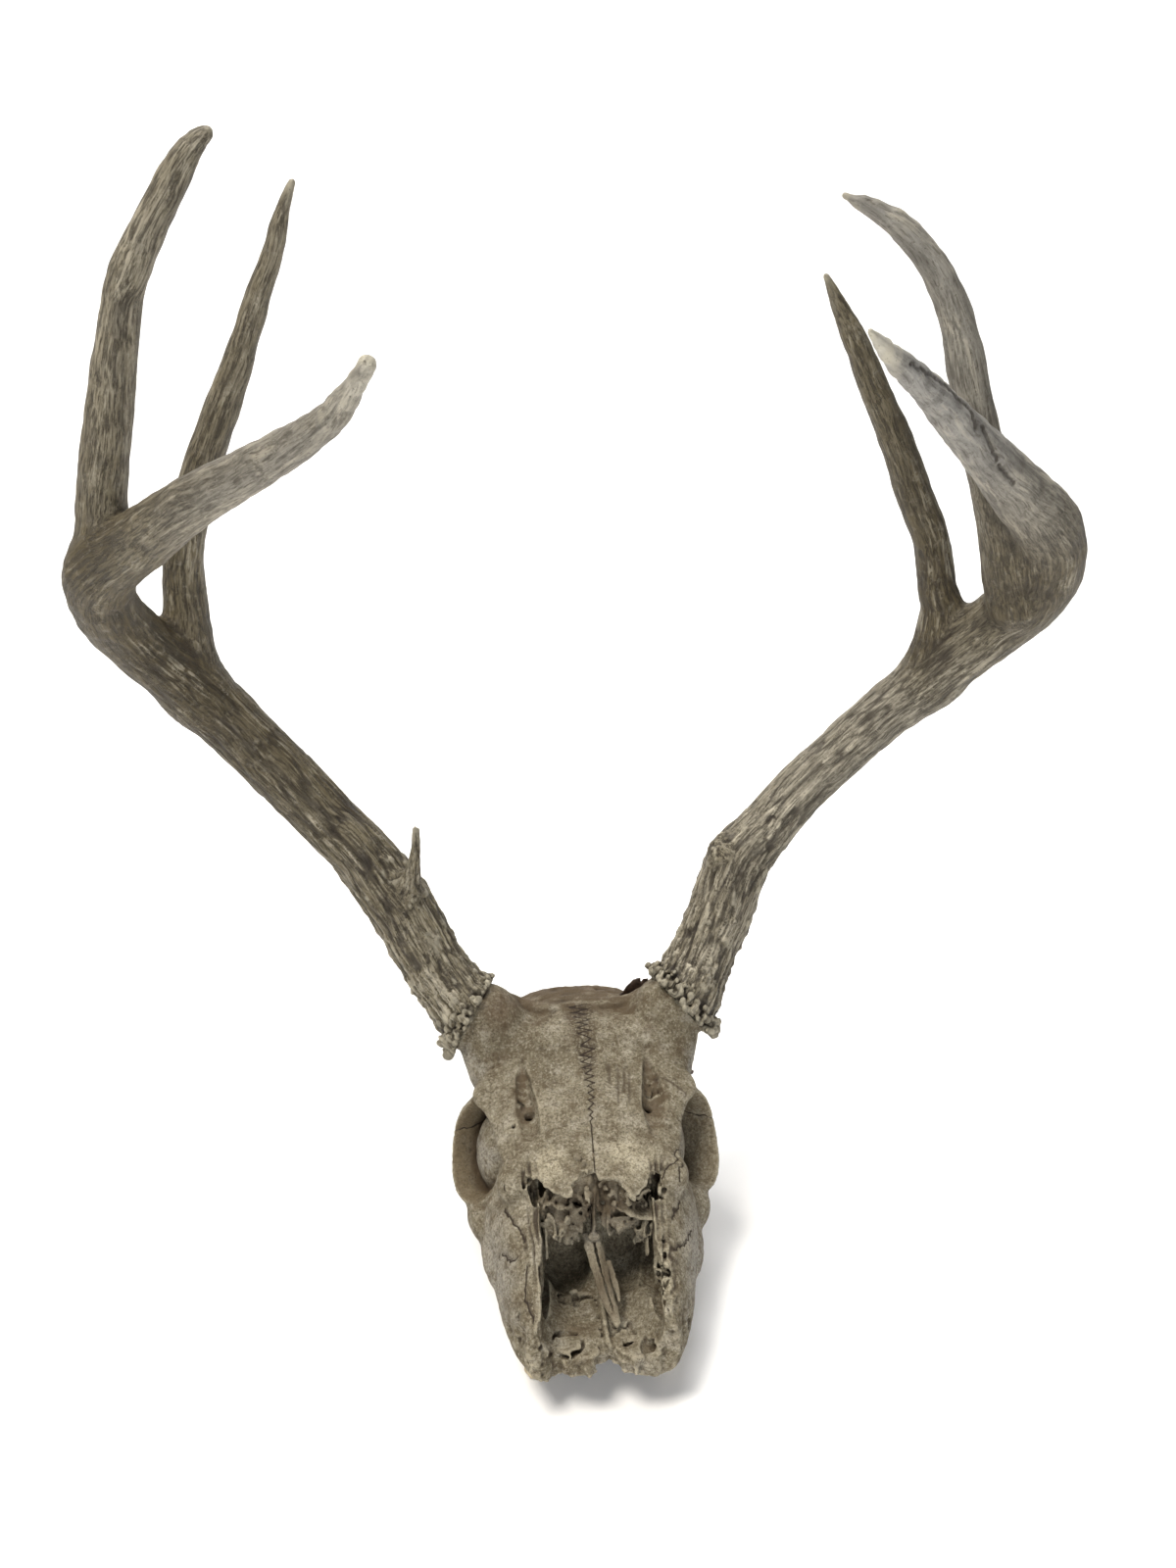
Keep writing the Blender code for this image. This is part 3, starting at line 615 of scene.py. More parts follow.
def side_forms(sign):
    """What each side of the skull has, written for the left: the form and how softly it joins the rest.

    These are the cheek, the condyle, the bulla, the rear of the braincase, the root of the cheek arch,
    the ear opening's tube, the long process below it and the wing of the palate.
    """
    forms = (
        (lump((42, 146, 37), (6, 20, 7)), 4.0),
        (lump((47.5, 129, 42), (6.5, 13, 8)), 4.0),
        (lump((33, 147, 73), (8, 9, 8)), 3.0),
        (lump((13, 5.5, 36), (7.5, 8, 11.5), turn=(20, 0, 0)), 1.5),
        (lump((20, 36, 32), (7, 11, 9)), 2.0),
        (lump((32, 19, 55), (8, 9, 15)), 3.0),
        (lump((37, 56, 52), (11, 9, 6)), 3.0),
        (band(((22, 34, 38, 4.5, 4.5), (33, 32, 46, 4.5, 4.5), (40, 30, 50, 4.5, 4.5)), (0, 1, 0)), 2.0),
        (
            band(
                ((28, 16, 52, 9, 5), (28, 14, 36, 8, 4), (27, 13, 20, 6.5, 3.2), (25, 14, 8, 5, 2.8),
                 (24, 15, 3.4, 3, 2.4)),
                (0.5, -1, 0),
            ),
            2.0,
        ),
        (
            band(
                ((11, 66, 47, 12, 2.4), (12.5, 82, 43, 16, 2.2), (14, 98, 38, 17, 2.2), (16, 114, 32, 13, 2.6)),
                (0, 0, 1),
            ),
            2.0,
        ),
    )
    return [(beside(form, sign), blend) for form, blend in forms]


def nose_hollow():
    """The space in the face that the lost nasal bones lay open."""
    return loft(
        (
            (124, 8, 52, 60, 70),
            (134, 19, 42, 60, 78),
            (145, 23, 34, 58, 88),
            (158, 23, 30, 56, 104),
            (172, 23, 28, 52, 104),
            (186, 24.5, 27, 48, 104),
            (198, 25, 26, 45, 104),
            (222, 25, 25.5, 45, 104),
        ),
        under=3.0,
        over=7.0,
    )


def palate_hollow():
    """The hollow between the two tooth rows."""
    return loft(
        (
            (92, 15, -20, 0, 36),
            (104, 20, -20, 0, 27),
            (114, 22.5, -20, 0, 20),
            (150, 22.5, -20, 0, 20),
            (176, 21, -20, 0, 20),
            (196, 20, -20, 0, 20),
            (222, 20, -20, 0, 20),
        ),
        under=6.0,
        over=5.0,
    )


def broken_front():
    """The ragged break across the upper jaws, ahead of the teeth."""
    edge = (
        (-46, 190), (-38, 191), (-36, 194), (-33.5, 194.5), (-32, 198), (-30.5, 203), (-27, 204), (-25, 202.5),
        (-23, 202.5), (-21, 197), (-17, 198.5), (-13, 201), (-10.5, 201.5), (-6, 203), (-3, 200), (-1.5, 197),
        (2.5, 195.5), (5, 197.5), (8, 201.5), (12, 203.5), (17, 202.5), (25, 201), (28.5, 203), (31, 202.5),
        (32.5, 197), (35, 194), (36, 190), (46, 188),
    )
    return upright((*edge, (60, 260), (-60, 260)), -10, 130, lean=FACE_LEAN, pivot=22, ragged=1.3)


def broken_forehead():
    """The ragged front edge of the frontals, with two lobes either side of the middle suture."""
    edge = (
        (-44, 146), (-33, 149), (-24.5, 155), (-20, 161), (-14.5, 167), (-10, 167.5), (-8.5, 162), (-5, 157),
        (1, 155), (2, 160), (9.5, 160.5), (12, 167), (13, 170.5), (15.5, 170), (18, 166), (23, 158),
        (28, 154), (34, 149), (44, 146),
    )
    return upright((*edge, (60, 220), (-60, 220)), 60, 130, lean=-0.45, pivot=85, ragged=1.4)


# Vessel grooves in the forehead above the eyes, in rows of (x, ahead, up, half_width, half_depth),
# and the holes they run to, as (x, ahead, up, radius).
BROW_GROOVES = {
    "right": (
        (-28, 92, 100.9, 0.8, 1.0),
        (-28, 103, 97.7, 2.8, 3.2),
        (-27.4, 114, 94.4, 4.2, 4.4),
        (-26.6, 125, 91.4, 5.4, 4.6),
        (-26.0, 135, 88.6, 4.4, 2.6),
    ),
    "left": (
        (28.6, 92, 100.5, 0.8, 1.0),
        (29.0, 103, 97.3, 3.0, 3.4),
        (29.6, 114, 93.8, 5.0, 4.5),
        (29.2, 124, 91.0, 5.6, 4.5),
        (28.0, 135, 87.8, 2.6, 2.2),
    ),
}
BROW_HOLES = ((-25.6, 121.5, 90.0, 2.3), (26.2, 120.5, 90.5, 2.4), (-32.6, 127.2, 87.6, 1.0))


def spongy(centre, radii, size, seed):
    """Ragged holes, about size apart, in the part of a bone that lies in an ellipsoid."""
    whole = lump(centre, radii)
    open_above = 0.18

    def distance(x, ahead, up):
        holes = (open_above - noise(spots_of(x, ahead, up), size, seed)) * 0.8 * size
        return np.maximum(whole.distance(x, ahead, up), holes)

    return Form(whole.low, whole.high, distance)


# Where the broken bone is spongy: (x, ahead, up), radii and the size of the holes.
SPONGY_PARTS = (
    ((-12, 169, 27), (12, 4.5, 5), 3.0),
    ((-15, 193, 28), (8, 7, 3.5), 3.6),
    ((9, 188, 28), (6, 8, 3.5), 3.0),
    ((22, 197, 28.5), (7, 7, 4), 4.0),
    ((26.0, 186, 52), (2.4, 16, 16), 2.2),
    ((-27, 152, 73), (4, 8, 6), 3.0),
    ((27, 152, 73), (4, 8, 6), 3.0),
    ((0, 206, 24), (38, 4.5, 9), 3.4),
)


def nose_inside(block):
    """The floor plates, scoops, slots and recesses that the broken nose lays open."""
    for scoop in (
        lump((-11.5, 150, 37), (11.5, 21, 14)),
        lump((12, 151, 37), (10.5, 20, 14)),
        lump((-23.5, 171, 36), (3.2, 15, 6)),
        lump((22.5, 161, 39), (6.5, 17, 12)),
        lump((25, 181, 38), (3.5, 11, 5)),
    ):
        block.carve(scoop, 1.0)
    for plate in (
        ((-24, 170), (-19, 165), (-13, 167), (-9, 164), (-4, 168), (0, 172), (1, 190), (1, 212), (-24, 212)),
        ((2, 186), (6, 190), (9, 186), (14, 184), (17, 179), (22, 177), (27, 181), (27, 212), (2, 212)),
    ):
        block.join(upright(plate, 22, 28.6, ragged=2.0), 0.6)
    middle_ridge = ((0, 150, 25, 3, 1.6), (1.5, 170, 27, 3, 1.4), (2.5, 204, 27.5, 3, 1.3))
    block.join(band(middle_ridge, (0, 0, 1)), 1.2)
    block.join(lump((20.5, 172, 29.5), (5.6, 6.0, 4.6)), 0.8)
    for seed, (centre, radii, size) in enumerate(SPONGY_PARTS, 200):
        block.carve(spongy(centre, radii, size, seed), 0.4)
    for sign in SIDES.values():
        block.carve(lump((sign * 24.5, 153, 71), (2.6, 7, 6)), 0.6)
        block.carve(lump((sign * 33.2, 152, 71.5), (1.3, 1.6, 4)), 0.4)


def make_skull_block():
    """The skull's form: case, jaws and base, then the frontals as a plate of their own, then the rims."""
    block = Block((-70, -8, -3), (70, 216, 132), SKULL_STEP)
    block.join(braincase())
    block.join(upper_jaws(), 3.0)
    block.join(
        loft(
            ((3, 10, 27, 33, 40), (20, 10.5, 29, 34, 42), (40, 9.5, 32, 38, 46), (60, 8.5, 36, 42, 50),
             (84, 8, 40, 47, 56))
        ),
        3.0,
    )
    crest = (
        (-33, 15, 57, 3.5, 3), (-29, 9, 66, 3.5, 3), (-16, 4.5, 71.5, 3.5, 3), (0, 3.5, 73.5, 4, 3.5),
        (16, 4.5, 71.5, 3.5, 3), (29, 9, 66, 3.5, 3), (33, 15, 57, 3.5, 3),
    )
    block.join(band(crest, (0, 1, 0.5)), 3.0)
    for sign in SIDES.values():
        for form, blend in side_forms(sign):
            block.join(form, blend)
    block.carve(nose_hollow())
    block.carve(palate_hollow(), 3.0)
    nose_inside(block)
    block.carve(lump((0, 4, 49), (10.5, 16, 9.5)), 1.5)
    for sign in SIDES.values():
        x, ahead, up = ORBIT
        block.carve(lump((sign * (x - 2), ahead, up + 1), (25, 21, 17), turn=(0, 0, -sign * 20)), 1.5)
        block.carve(lump((sign * 42, 29.5, 51), (6, 2.6, 2.6)), 1.0)
        block.carve(lump((sign * 39, 186, 30), (6, 5, 3.5)), 1.0)
    plate = Block((-70, 40, 60), (70, 200, 132), SKULL_STEP)
    plate.join(frontals())
    plate.carve(broken_forehead(), 0.6)
    plate.join(lump((0, 78, 97), (44, 16, 11), turn=(15, 0, 0)), 4.0)
    for sign in SIDES.values():
        plate.join(lump((sign * 29, 70, 97), (12, 11, 10.5)), 5.0)
    ridge = ((-31, 63, 109, 3, 2), (-16, 67.5, 108, 3, 2), (0, 69, 107.6, 3, 2), (28, 64, 109, 3, 2))
    plate.join(band(ridge, (0, 1, 0)), 2.0)
    for groove in BROW_GROOVES.values():
        plate.carve(band(groove, (1, 0, 0)), 0.4)
        x, ahead, up = groove[2][:3]
        plate.carve(spongy((x, ahead + 5, up - 4.5), (3.2, 15, 2.2), 2.0, 211), 0.3)
    for hole in BROW_HOLES:
        plate.carve(lump(hole[:3], (hole[3], hole[3], 9)), 0.3)
    block.join(Form(plate.low, plate.low + plate.step * np.array(plate.field.shape), on_grid(plate)), 3.0)
    for side, sign in SIDES.items():
        block.join(stalk(side, sign), 6.0)
        block.join(eye_rim(sign), 1.5)
        block.join(cheek_arch(sign), 2.0)
        block.carve(burr_plane(side), 0.5)
    block.join(lump((-37.0, 111, 61), (12.2, 17, 20)), 2.0)
    block.join(lump((34.5, 112, 61), (10.0, 17, 20)), 2.0)
    block.carve(broken_front(), 0.6)
    return block


def on_grid(block):
    """A block's field as the distance of a form for another block with the same step."""

    def distance(x, ahead, up):
        spots = spots_of(x, ahead, up)
        return block.at(block.field, spots.reshape(-1, 3)).reshape(spots.shape[:-1])

    return distance


def burr_plane(side, reach=30, past=0.0, sign=-1):
    """What lies past the face on which an antler stands or, with sign 1, short of it."""
    way = unit(BURR_TILT[side])
    centre = np.array(BURR_CENTRE[side]) + past * way

    def distance(x, ahead, up):
        out = (x - centre[0]) * way[0] + (ahead - centre[1]) * way[1] + (up - centre[2]) * way[2]
        return sign * out

    return Form(centre - reach, centre + reach, distance)


# The middle line of the seam between the frontals and how far its teeth reach either side, at each ahead.
SEAM_MIDDLE = ((68, 0.0), (88, 1.0), (104, 1.5), (112, 2.0), (132, 0.5), (157, 0.1))
SEAM_REACH = ((68, 6.8), (80, 6.2), (98, 4.6), (108, 3.2), (118, 2.4), (130, 1.2), (136, 0.0))


def middle_seam():
    """The seam between the frontals, a wide zigzag that ends straight at the nose, as (x, ahead)."""
    random = np.random.default_rng(8)
    line, ahead, way = [], 68.5, 1
    while ahead < 158:
        half = np.interp(ahead, *zip(*SEAM_REACH))
        x = np.interp(ahead, *zip(*SEAM_MIDDLE)) + way * 0.8 * half * random.uniform(0.5, 1.0)
        line.append((x, ahead + random.uniform(-0.5, 0.5) * min(half / 2, 1)))
        ahead += 1.9 * random.uniform(0.7, 1.3) if half > 0.1 else 4.0
        way = -way
    return line


# Seams and cracks on the face and the edge of the skullcap, as lines of (x, ahead).
FACE_SEAMS = (
    ((-37.6, 152.8), (-35.8, 158.4), (-30.8, 167.7), (-30.2, 171.6)),
    ((-45.7, 148.7), (-43.0, 157.0), (-40.3, 165.3), (-35.2, 173.9), (-33.2, 174.7)),
    ((38.7, 148.0), (36.5, 150.5), (35.8, 156.5), (31.2, 165.3)),
    ((31.5, 176.2), (37.0, 169.6), (41.0, 160.0), (45.5, 149.8)),
    ((-29.8, 179.9), (-31.1, 188.0), (-27.6, 196.6)),
    ((38.0, 139.0), (35.0, 144.0), (36.5, 147.0), (31.0, 151.0), (27.5, 154.5)),
)
VESSEL_LINES = (
    ((11.4, 102), (10.4, 112)),
    ((15.1, 104), (13.3, 122)),
    ((17.8, 104), (16.4, 117)),
    ((19.7, 107), (18.1, 122)),
    ((31.2, 106.5), (36.3, 108.1), (40.4, 110.2), (44.6, 112.5)),
)


def jagged(line, reach, seed):
    """A line with small random teeth."""
    line = np.array(line, float)
    run = np.concatenate([[0], np.cumsum(np.linalg.norm(np.diff(line, axis=0), axis=1))])
    at = np.arange(0, run[-1], 1.0)
    points = np.stack([np.interp(at, run, line[:, k]) for k in range(2)], axis=-1)
    return points + np.random.default_rng(seed).uniform(-reach, reach, points.shape)


def from_lines(spots, lines):
    """How far places are from the nearest line of (x, ahead), seen from above, and on which side."""
    nearest = np.full(len(spots), FAR, np.float32)
    sides = np.ones(len(spots), np.float32)
    for line in lines:
        line = np.asarray(line, float)
        low, high = line.min(axis=0) - 3, line.max(axis=0) + 3
        close = np.flatnonzero(((spots[:, :2] > low) & (spots[:, :2] < high)).all(axis=1))
        for start, end in zip(line, line[1:]):
            run = end - start
            away = spots[close, :2] - start
            t = np.clip(away @ run / max(run @ run, TINY), 0, 1)
            gap = np.linalg.norm(away - t[:, None] * run, axis=1)
            closer = gap < nearest[close] - 1e-4
            nearest[close[closer]] = gap[closer]
            sides[close[closer]] = np.sign(run[0] * away[closer, 1] - run[1] * away[closer, 0])
    return nearest, sides


def vessels(spots, rise):
    """How strongly places that face up by rise lie in the fine vessel lines of the brow, from 0 to 1."""
    return np.exp(-((from_lines(spots, VESSEL_LINES)[0] / 0.8) ** 2)) * rise


def seams(spots, rise):
    """For the nearest seam: how far it is to one side, how far at all, and how tangled it is there."""
    lines = [middle_seam()] + [jagged(line, 0.5, i) for i, line in enumerate(FACE_SEAMS)]
    nearest, sides = from_lines(spots, lines)
    nearest = nearest + 4 * (1 - rise)
    x, ahead, up = spots.T
    # The seam across the bar behind each eye socket.
    past = up - 69 - 1.2 * noise(spots, 2.5, 77)
    on_bar = (np.abs(x) > 46) & (ahead < 110) & (up > 60) & (np.abs(past) < nearest)
    nearest = np.where(on_bar, np.abs(past), nearest)
    sides = np.where(on_bar, np.sign(past), sides)
    reach = np.interp(ahead, *zip(*SEAM_REACH))
    away = np.abs(x - np.interp(ahead, *zip(*SEAM_MIDDLE)))
    tangle = np.clip((reach - away) / 1.2 + 0.5, 0, 1)
    tangle = tangle * np.clip((112 - ahead) / 8, 0, 1) * np.clip(ahead - 69, 0, 1)
    return np.stack([nearest * sides, nearest, tangle * rise], axis=-1)


def within(spots, centre, reaches, power=2):
    """How strongly places lie in a soft-edged part of the skull, from 0 to 1."""
    return np.exp(-(((spots - centre) / reaches) ** power).sum(axis=1))


def zones(spots, places):
    """How strongly places lie in soft-edged zones of (x, ahead, up), (reaches), strength."""
    wobble = 1 + 0.7 * noise(spots, 5.0, 31)
    total = np.zeros(len(spots), np.float32)
    for centre, reaches, strength in places:
        away = (spots - np.array(centre)) / np.array(reaches)
        total = np.maximum(total, strength * np.exp(-(away**2).sum(axis=1) * wobble))
    return np.clip(total, 0, 1)


# Where the skull is stained, as (x, ahead, up), (reaches), strength: brown soil on the cap and in the
# grooves, rust round the right stalk, cream on thin broken edges, grey in the eyes and on the cheeks.
SOIL = (
    ((0, 50, 104), (46, 19, 18), 3.0),
    ((0, 158, 33), (22, 9, 8), 0.25),
    ((-12, 184, 28), (14, 18, 6), 0.4),
    ((-27.4, 117, 90.5), (3.8, 18, 8), 1.6),
    ((29.5, 116, 90.0), (4.6, 17, 8), 1.6),
    ((20, 165, 66), (9, 7, 7), 0.6),
    ((-46, 84, 100), (5, 5, 6), 0.9),
    ((-39, 92, 97), (5, 4, 4), 0.7),
    ((-34, 82, 103), (4, 6, 5), 0.8),
    ((-49, 98, 86), (4, 7, 6), 0.5),
    ((45, 90, 97), (5, 6, 5), 0.6),
    ((33, 80, 104), (6, 4, 5), 0.5),
)
RUST = (
    ((-38, 76, 112), (9, 12, 12), 0.8),
    ((-24, 66, 110), (10, 5, 8), 0.7),
    ((-40, 98, 84), (6, 8, 8), 0.5),
    ((22, 62, 110), (10, 5, 8), 0.5),
    ((0, 50, 106), (40, 14, 12), 0.9),
)
CREAM = (
    ((0, 138, 42), (24, 14, 14), 1.3),
    ((-19, 150, 85), (9, 9, 8), 1.0),
    ((16, 150, 85), (12, 9, 8), 1.1),
    ((27, 186, 55), (5, 16, 16), 0.8),
    ((-22, 120, 93), (14, 14, 10), 0.35),
    ((-51, 92, 90), (6, 11, 11), 0.45),
    ((-30, 200, 28), (6, 6, 8), 0.5),
)
GREY = (
    ((-44, 112, 60), (8, 14, 16), 1.0),
    ((40, 114, 60), (7, 14, 16), 1.0),
    ((42, 165, 42), (10, 32, 22), 0.9),
    ((-42, 165, 42), (10, 32, 22), 0.7),
    ((-51, 92, 90), (6, 11, 11), 1.0),
    ((51, 88, 90), (6, 9, 9), 0.8),
)


def make_skull(material):
    """The skull: its form, then seams, grooves and roughness pressed into the mesh, then its stains and its
    painted shade.
    """
    block = make_skull_block()
    skull = block.skin("skull_bone")
    spots = skull_points(skull)
    rise = facing_up(skull)
    seam = np.exp(-((seams(spots, rise)[:, 1] / 0.6) ** 2))
    vessel = vessels(spots, rise)
    x, ahead, up = spots.T
    # Beside the open nose the thin bone has split into long planks.
    margin = np.abs(x) + 0.08 * (ahead - 165) - 21.5
    strip = np.exp(-(((margin - 4.5) / 4.0) ** 2))
    strip = strip * np.clip((ahead - 142) / 8, 0, 1) * np.clip((up - 36) / 8, 0, 1)
    planks = np.abs(np.sin(math.pi * margin / 2.7 + 0.9 * noise(spots * (1, 0.3, 1), 4.0, 41)))
    planks = planks * (0.75 + 0.6 * noise(spots * (1, 0.35, 1), 3.0, 42))
    crumbly = within(spots, (27, 184, 54), (7, 17, 17))
    cap = within(spots, (0, 48, 106), (38, 22, 12))
    creases = noise(spots * (0.35, 1.0, 1.0), 1.8, 51)
    pits = np.clip(noise(spots, 1.9, 61) - 0.5, 0, 1) + np.clip(noise(spots, 3.4, 62) - 0.6, 0, 1) * 1.5
    press(
        skull,
        0.25 * rough(spots, 6.0, 11)
        + 0.12 * noise(spots, 1.4, 21)
        - 0.45 * seam
        - 0.35 * vessel
        - 0.9 * pits
        - strip * (1.5 * planks - 0.4)
        + crumbly * (0.9 * noise(spots, 1.8, 71) - 0.3)
        + cap * (0.7 * creases),
    )
    thin_out(skull, SKULL_TRIANGLES)
    spots = skull_points(skull)
    rise = facing_up(skull)
    # Painted shade: how crowded by bone each point is, at three reaches, to darken crevices, hollows and
    # sheltered places; inside the open nose it is lessened.
    note(skull, "crevice", block.at(block.crowding(CREVICE_REACH), spots))
    in_nose = within(spots, (0, 160, 48), (26, 38, 30), 4)
    note(skull, "hollow", block.at(block.crowding(HOLLOW_REACH), spots) - 0.20 * in_nose)
    note(skull, "shelter_shade", block.at(block.crowding(SHELTER_REACH), spots) - 0.40 * in_nose)
    note(skull, "seam", seams(spots, rise))
    # Painted shade on the faces inside each eye socket that turn towards the eye, weaker in the left socket
    # than the right.
    ones = np.ones(len(spots))
    away = np.array(ORBIT) * np.stack([np.sign(spots[:, 0]), ones, ones], axis=-1) - spots
    faces_eye = (unit(away) * numbers(skull, "normal") * (1, -1, 1)).sum(axis=1)
    in_socket = np.clip((27 - np.linalg.norm(away, axis=1)) / 3, 0, 1) * (np.abs(spots[:, 0]) > 43)
    shade = np.where(spots[:, 0] > 0, 0.4, 1.0)
    note(skull, "socket", np.clip((faces_eye - 0.15) / 0.25, 0, 1) * in_socket * shade)
    note(skull, "vessel", vessels(spots, rise))
    streaky = 0.9 + 1.2 * noise(spots * (0.3, 1.0, 1.0), 1.7, 51)
    note(skull, "soil", zones(spots, SOIL) * streaky)
    for name, places in (("rust", RUST), ("cream", CREAM), ("grey", GREY)):
        note(skull, name, zones(spots, places))
    settle(skull, material, "bone", "skull")


# The broken bones inside the nose.

SCROLL_STEP = 0.4
NOSE_TRIANGLES = 120000


def crumpled(low, high, size, seed, thick):
    """Crumpled sheets of thin bone that fill the space between two corners."""

    def distance(x, ahead, up):
        spots = spots_of(x, ahead, up) * (1, 1, 0.6)
        fold = noise(spots, size, seed) + 0.35 * noise(spots, size / 2, seed + 1)
        slopes = np.gradient(fold, SCROLL_STEP)
        steep = np.sqrt(sum(slope**2 for slope in slopes)) + 0.05
        return np.abs(fold) / steep - thick

    return Form(np.array(low, float), np.array(high, float), distance)


# The scrolls and the spongy plate behind them: middle, radii, width of a fold and seed.
SCROLLS = (
    ((-13.5, 156, 63), (11.0, 9, 13), 4.0, 101),
    ((12.0, 154, 64), (11.0, 9, 13), 3.8, 102),
    ((-5, 150, 75), (11, 10, 9), 3.6, 103),
    ((13, 152, 75), (11, 9, 8), 3.6, 105),
    ((21, 158, 58), (4, 7, 11), 3.6, 104),
)
# Thin sheets and splinters in the nose, in rows of (x, ahead, up, half_width, half_thickness), and
# their wide way: the septum, the three blades below it, the plate across and one along each wall.
NOSE_SHEETS = (
    (
        ((0, 147, 84, 0.8, 3), (0, 153, 74, 0.8, 4), (-0.5, 158, 64, 0.8, 3), (-0.6, 160, 55, 1.2, 1.2)),
        (1, 0, 0),
    ),
    (
        ((-3.4, 158, 54, 2.2, 0.6), (-1.4, 168, 46, 2.0, 0.6), (2.4, 179, 37, 1.8, 0.6),
         (6.6, 188, 31, 0.8, 0.6)),
        (1, 0, 0.9),
    ),
    (
        ((0.8, 158, 54.5, 2.2, 0.6), (2.6, 168, 47, 1.9, 0.6), (5.4, 179, 38, 1.4, 0.6),
         (7.6, 187, 32, 0.8, 0.6)),
        (1, 0, -0.9),
    ),
    (((4.6, 167, 46, 1.6, 0.6), (6.8, 172, 41, 1.5, 0.6), (8.6, 178, 35, 0.5, 0.5)), (1, 0, 0.4)),
    (
        ((9, 160, 70, 3.6, 0.8), (17, 161, 66.5, 4.6, 0.9), (24, 161, 65, 5.0, 0.8), (28, 158, 62, 3.0, 0.8)),
        (0, 1, 0.1),
    ),
    (((-24, 146, 62, 9, 0.7), (-21.5, 158, 58, 7, 0.7), (-21.0, 168, 51, 2.6, 0.6)), (0, 0, 1)),
    (((23, 146, 62, 9, 0.7), (21.5, 158, 56, 7, 0.7), (21.5, 167, 49, 3, 0.6)), (0, 0, 1)),
)
BLADE_STRIP = ((3, 174, 42), (8, 18, 14))


def make_nose_bones(material):
    """The scrolls, the septum, the long two-bladed strip and the loose plates inside the open nose."""
    block = Block((-30, 126, 20), (32, 200, 92), SCROLL_STEP)
    for centre, radii, size, seed in SCROLLS:
        centre, radii = np.array(centre), np.array(radii)
        part = Block(centre - radii - 2, centre + radii + 2, SCROLL_STEP)
        part.join(crumpled(part.low + 0.5, centre + radii + 1, size, seed, 0.55), 0.3)
        spots = spots_of(*part.grid())
        edge = lump(centre, radii).distance(*part.grid())
        edge = edge + 2.6 * noise(spots, 4.5, seed + 5) + 1.2 * noise(spots, 2.0, seed + 6)
        part.field = np.maximum(part.field, edge)
        high = part.low + SCROLL_STEP * (np.array(part.field.shape) - 1)
        block.join(Form(part.low, high, on_grid(part)), 0.4)
    for rows, way in NOSE_SHEETS:
        block.join(band(rows, way), 0.4)
    block.join(lump((-0.6, 161, 54.5), (2.4, 2.0, 2.2)), 0.5)
    block.field += 0.25 * noise(spots_of(*block.grid()), 2.6, 24)
    bones = block.skin("nose_bones")
    spots = skull_points(bones)
    press(bones, 0.22 * noise(spots, 1.3, 22) + 0.35 * noise(spots * (1, 0.22, 0.4), 1.5, 23))
    thin_out(bones, NOSE_TRIANGLES)
    spots = skull_points(bones)
    # Painted shade: crowding by bone for crevices and hollows, and shade that deepens towards the rear of the
    # nose.
    note(bones, "crevice", block.at(block.crowding(CREVICE_REACH), spots))
    note(bones, "hollow", block.at(block.crowding(HOLLOW_REACH), spots))
    note(bones, "shelter_shade", 0.45 + 0.25 * np.clip((160 - spots[:, 1]) / 14, 0, 1))
    note(bones, "seam", np.full((len(spots), 3), (FAR, FAR, 0.0)))
    soil = (((0, 152, 72), (9, 12, 17), 1.0), (*BLADE_STRIP, 0.9), ((0, 154, 68), (28, 12, 17), 1.0))
    grey = (((0, 158, 58), (26, 12, 22), 0.6), (*BLADE_STRIP, 0.3))
    for name, places in (
        ("vessel", ()), ("socket", ()), ("soil", soil), ("rust", ()), ("cream", ()), ("grey", grey),
    ):
        note(bones, name, zones(spots, places))
    settle(bones, material, "bone", "skull")


# Teeth.

# How many lobes each tooth of a side has.
TEETH = {
    "second_premolar": 1,
    "third_premolar": 1,
    "fourth_premolar": 1,
    "first_molar": 2,
    "second_molar": 2,
    "third_molar": 2,
}
CROWN_UP = 7.0
TOOTH_STEP = 0.3
TOOTH_TRIANGLES = 9000


def tooth_form(box, lobes, sign):
    """A grinding tooth: rounded lobes with ribs down the cheek side and crescent folds in the worn face."""
    ends = skull_frame(np.array(box))
    low, high = ends.min(axis=0), ends.max(axis=0)
    middle, half = (low + high) / 2, (high - low) / 2
    block = Block((low[0] - 2, low[1] - 2, -1.5), (high[0] + 2, high[1] + 2, high[2] + 2), TOOTH_STEP)
    x, ahead, up = block.grid()
    taper = 1 - 0.22 * np.clip((up - CROWN_UP) / 9, 0, 1) - 0.10 * np.clip((1.2 - up) / 1.2, 0, 1)
    field = np.full(block.field.shape, FAR, np.float32)
    lobe_half = half[1] / lobes
    centres = [middle[1] + half[1] * (2 * i + 1 - lobes) / lobes for i in range(lobes)]
    for centre in centres:
        reach = lobe_half * (1.12 if lobes > 1 else 1.0)
        across, lengthwise = (x - middle[0]) / (half[0] * taper), (ahead - centre) / (reach * taper)
        share = np.sqrt(across**2 + lengthwise**2)
        field = blended(field, (share - 1) * min(half[0], reach), 1.2)
    cheek_side = np.clip(sign * (x - middle[0]) / half[0], 0, 1)
    field = field - 0.35 * np.cos(2 * math.pi * (ahead - middle[1]) / lobe_half) * cheek_side
    for centre in centres:
        for side_way in (-0.42, 0.30):
            bow = x - middle[0] - side_way * half[0] * sign
            bow = bow - 0.12 * sign * (ahead - centre) ** 2 / lobe_half
            fold = np.maximum(np.abs(bow) - 0.55, np.abs(ahead - centre) - 0.62 * lobe_half)
            field = np.maximum(field, -np.maximum(fold, up - 2.2))
    field = np.maximum(field, np.maximum(-up, up - high[2]))
    block.field = np.broadcast_to(field, block.field.shape).astype(np.float32).copy()
    return block


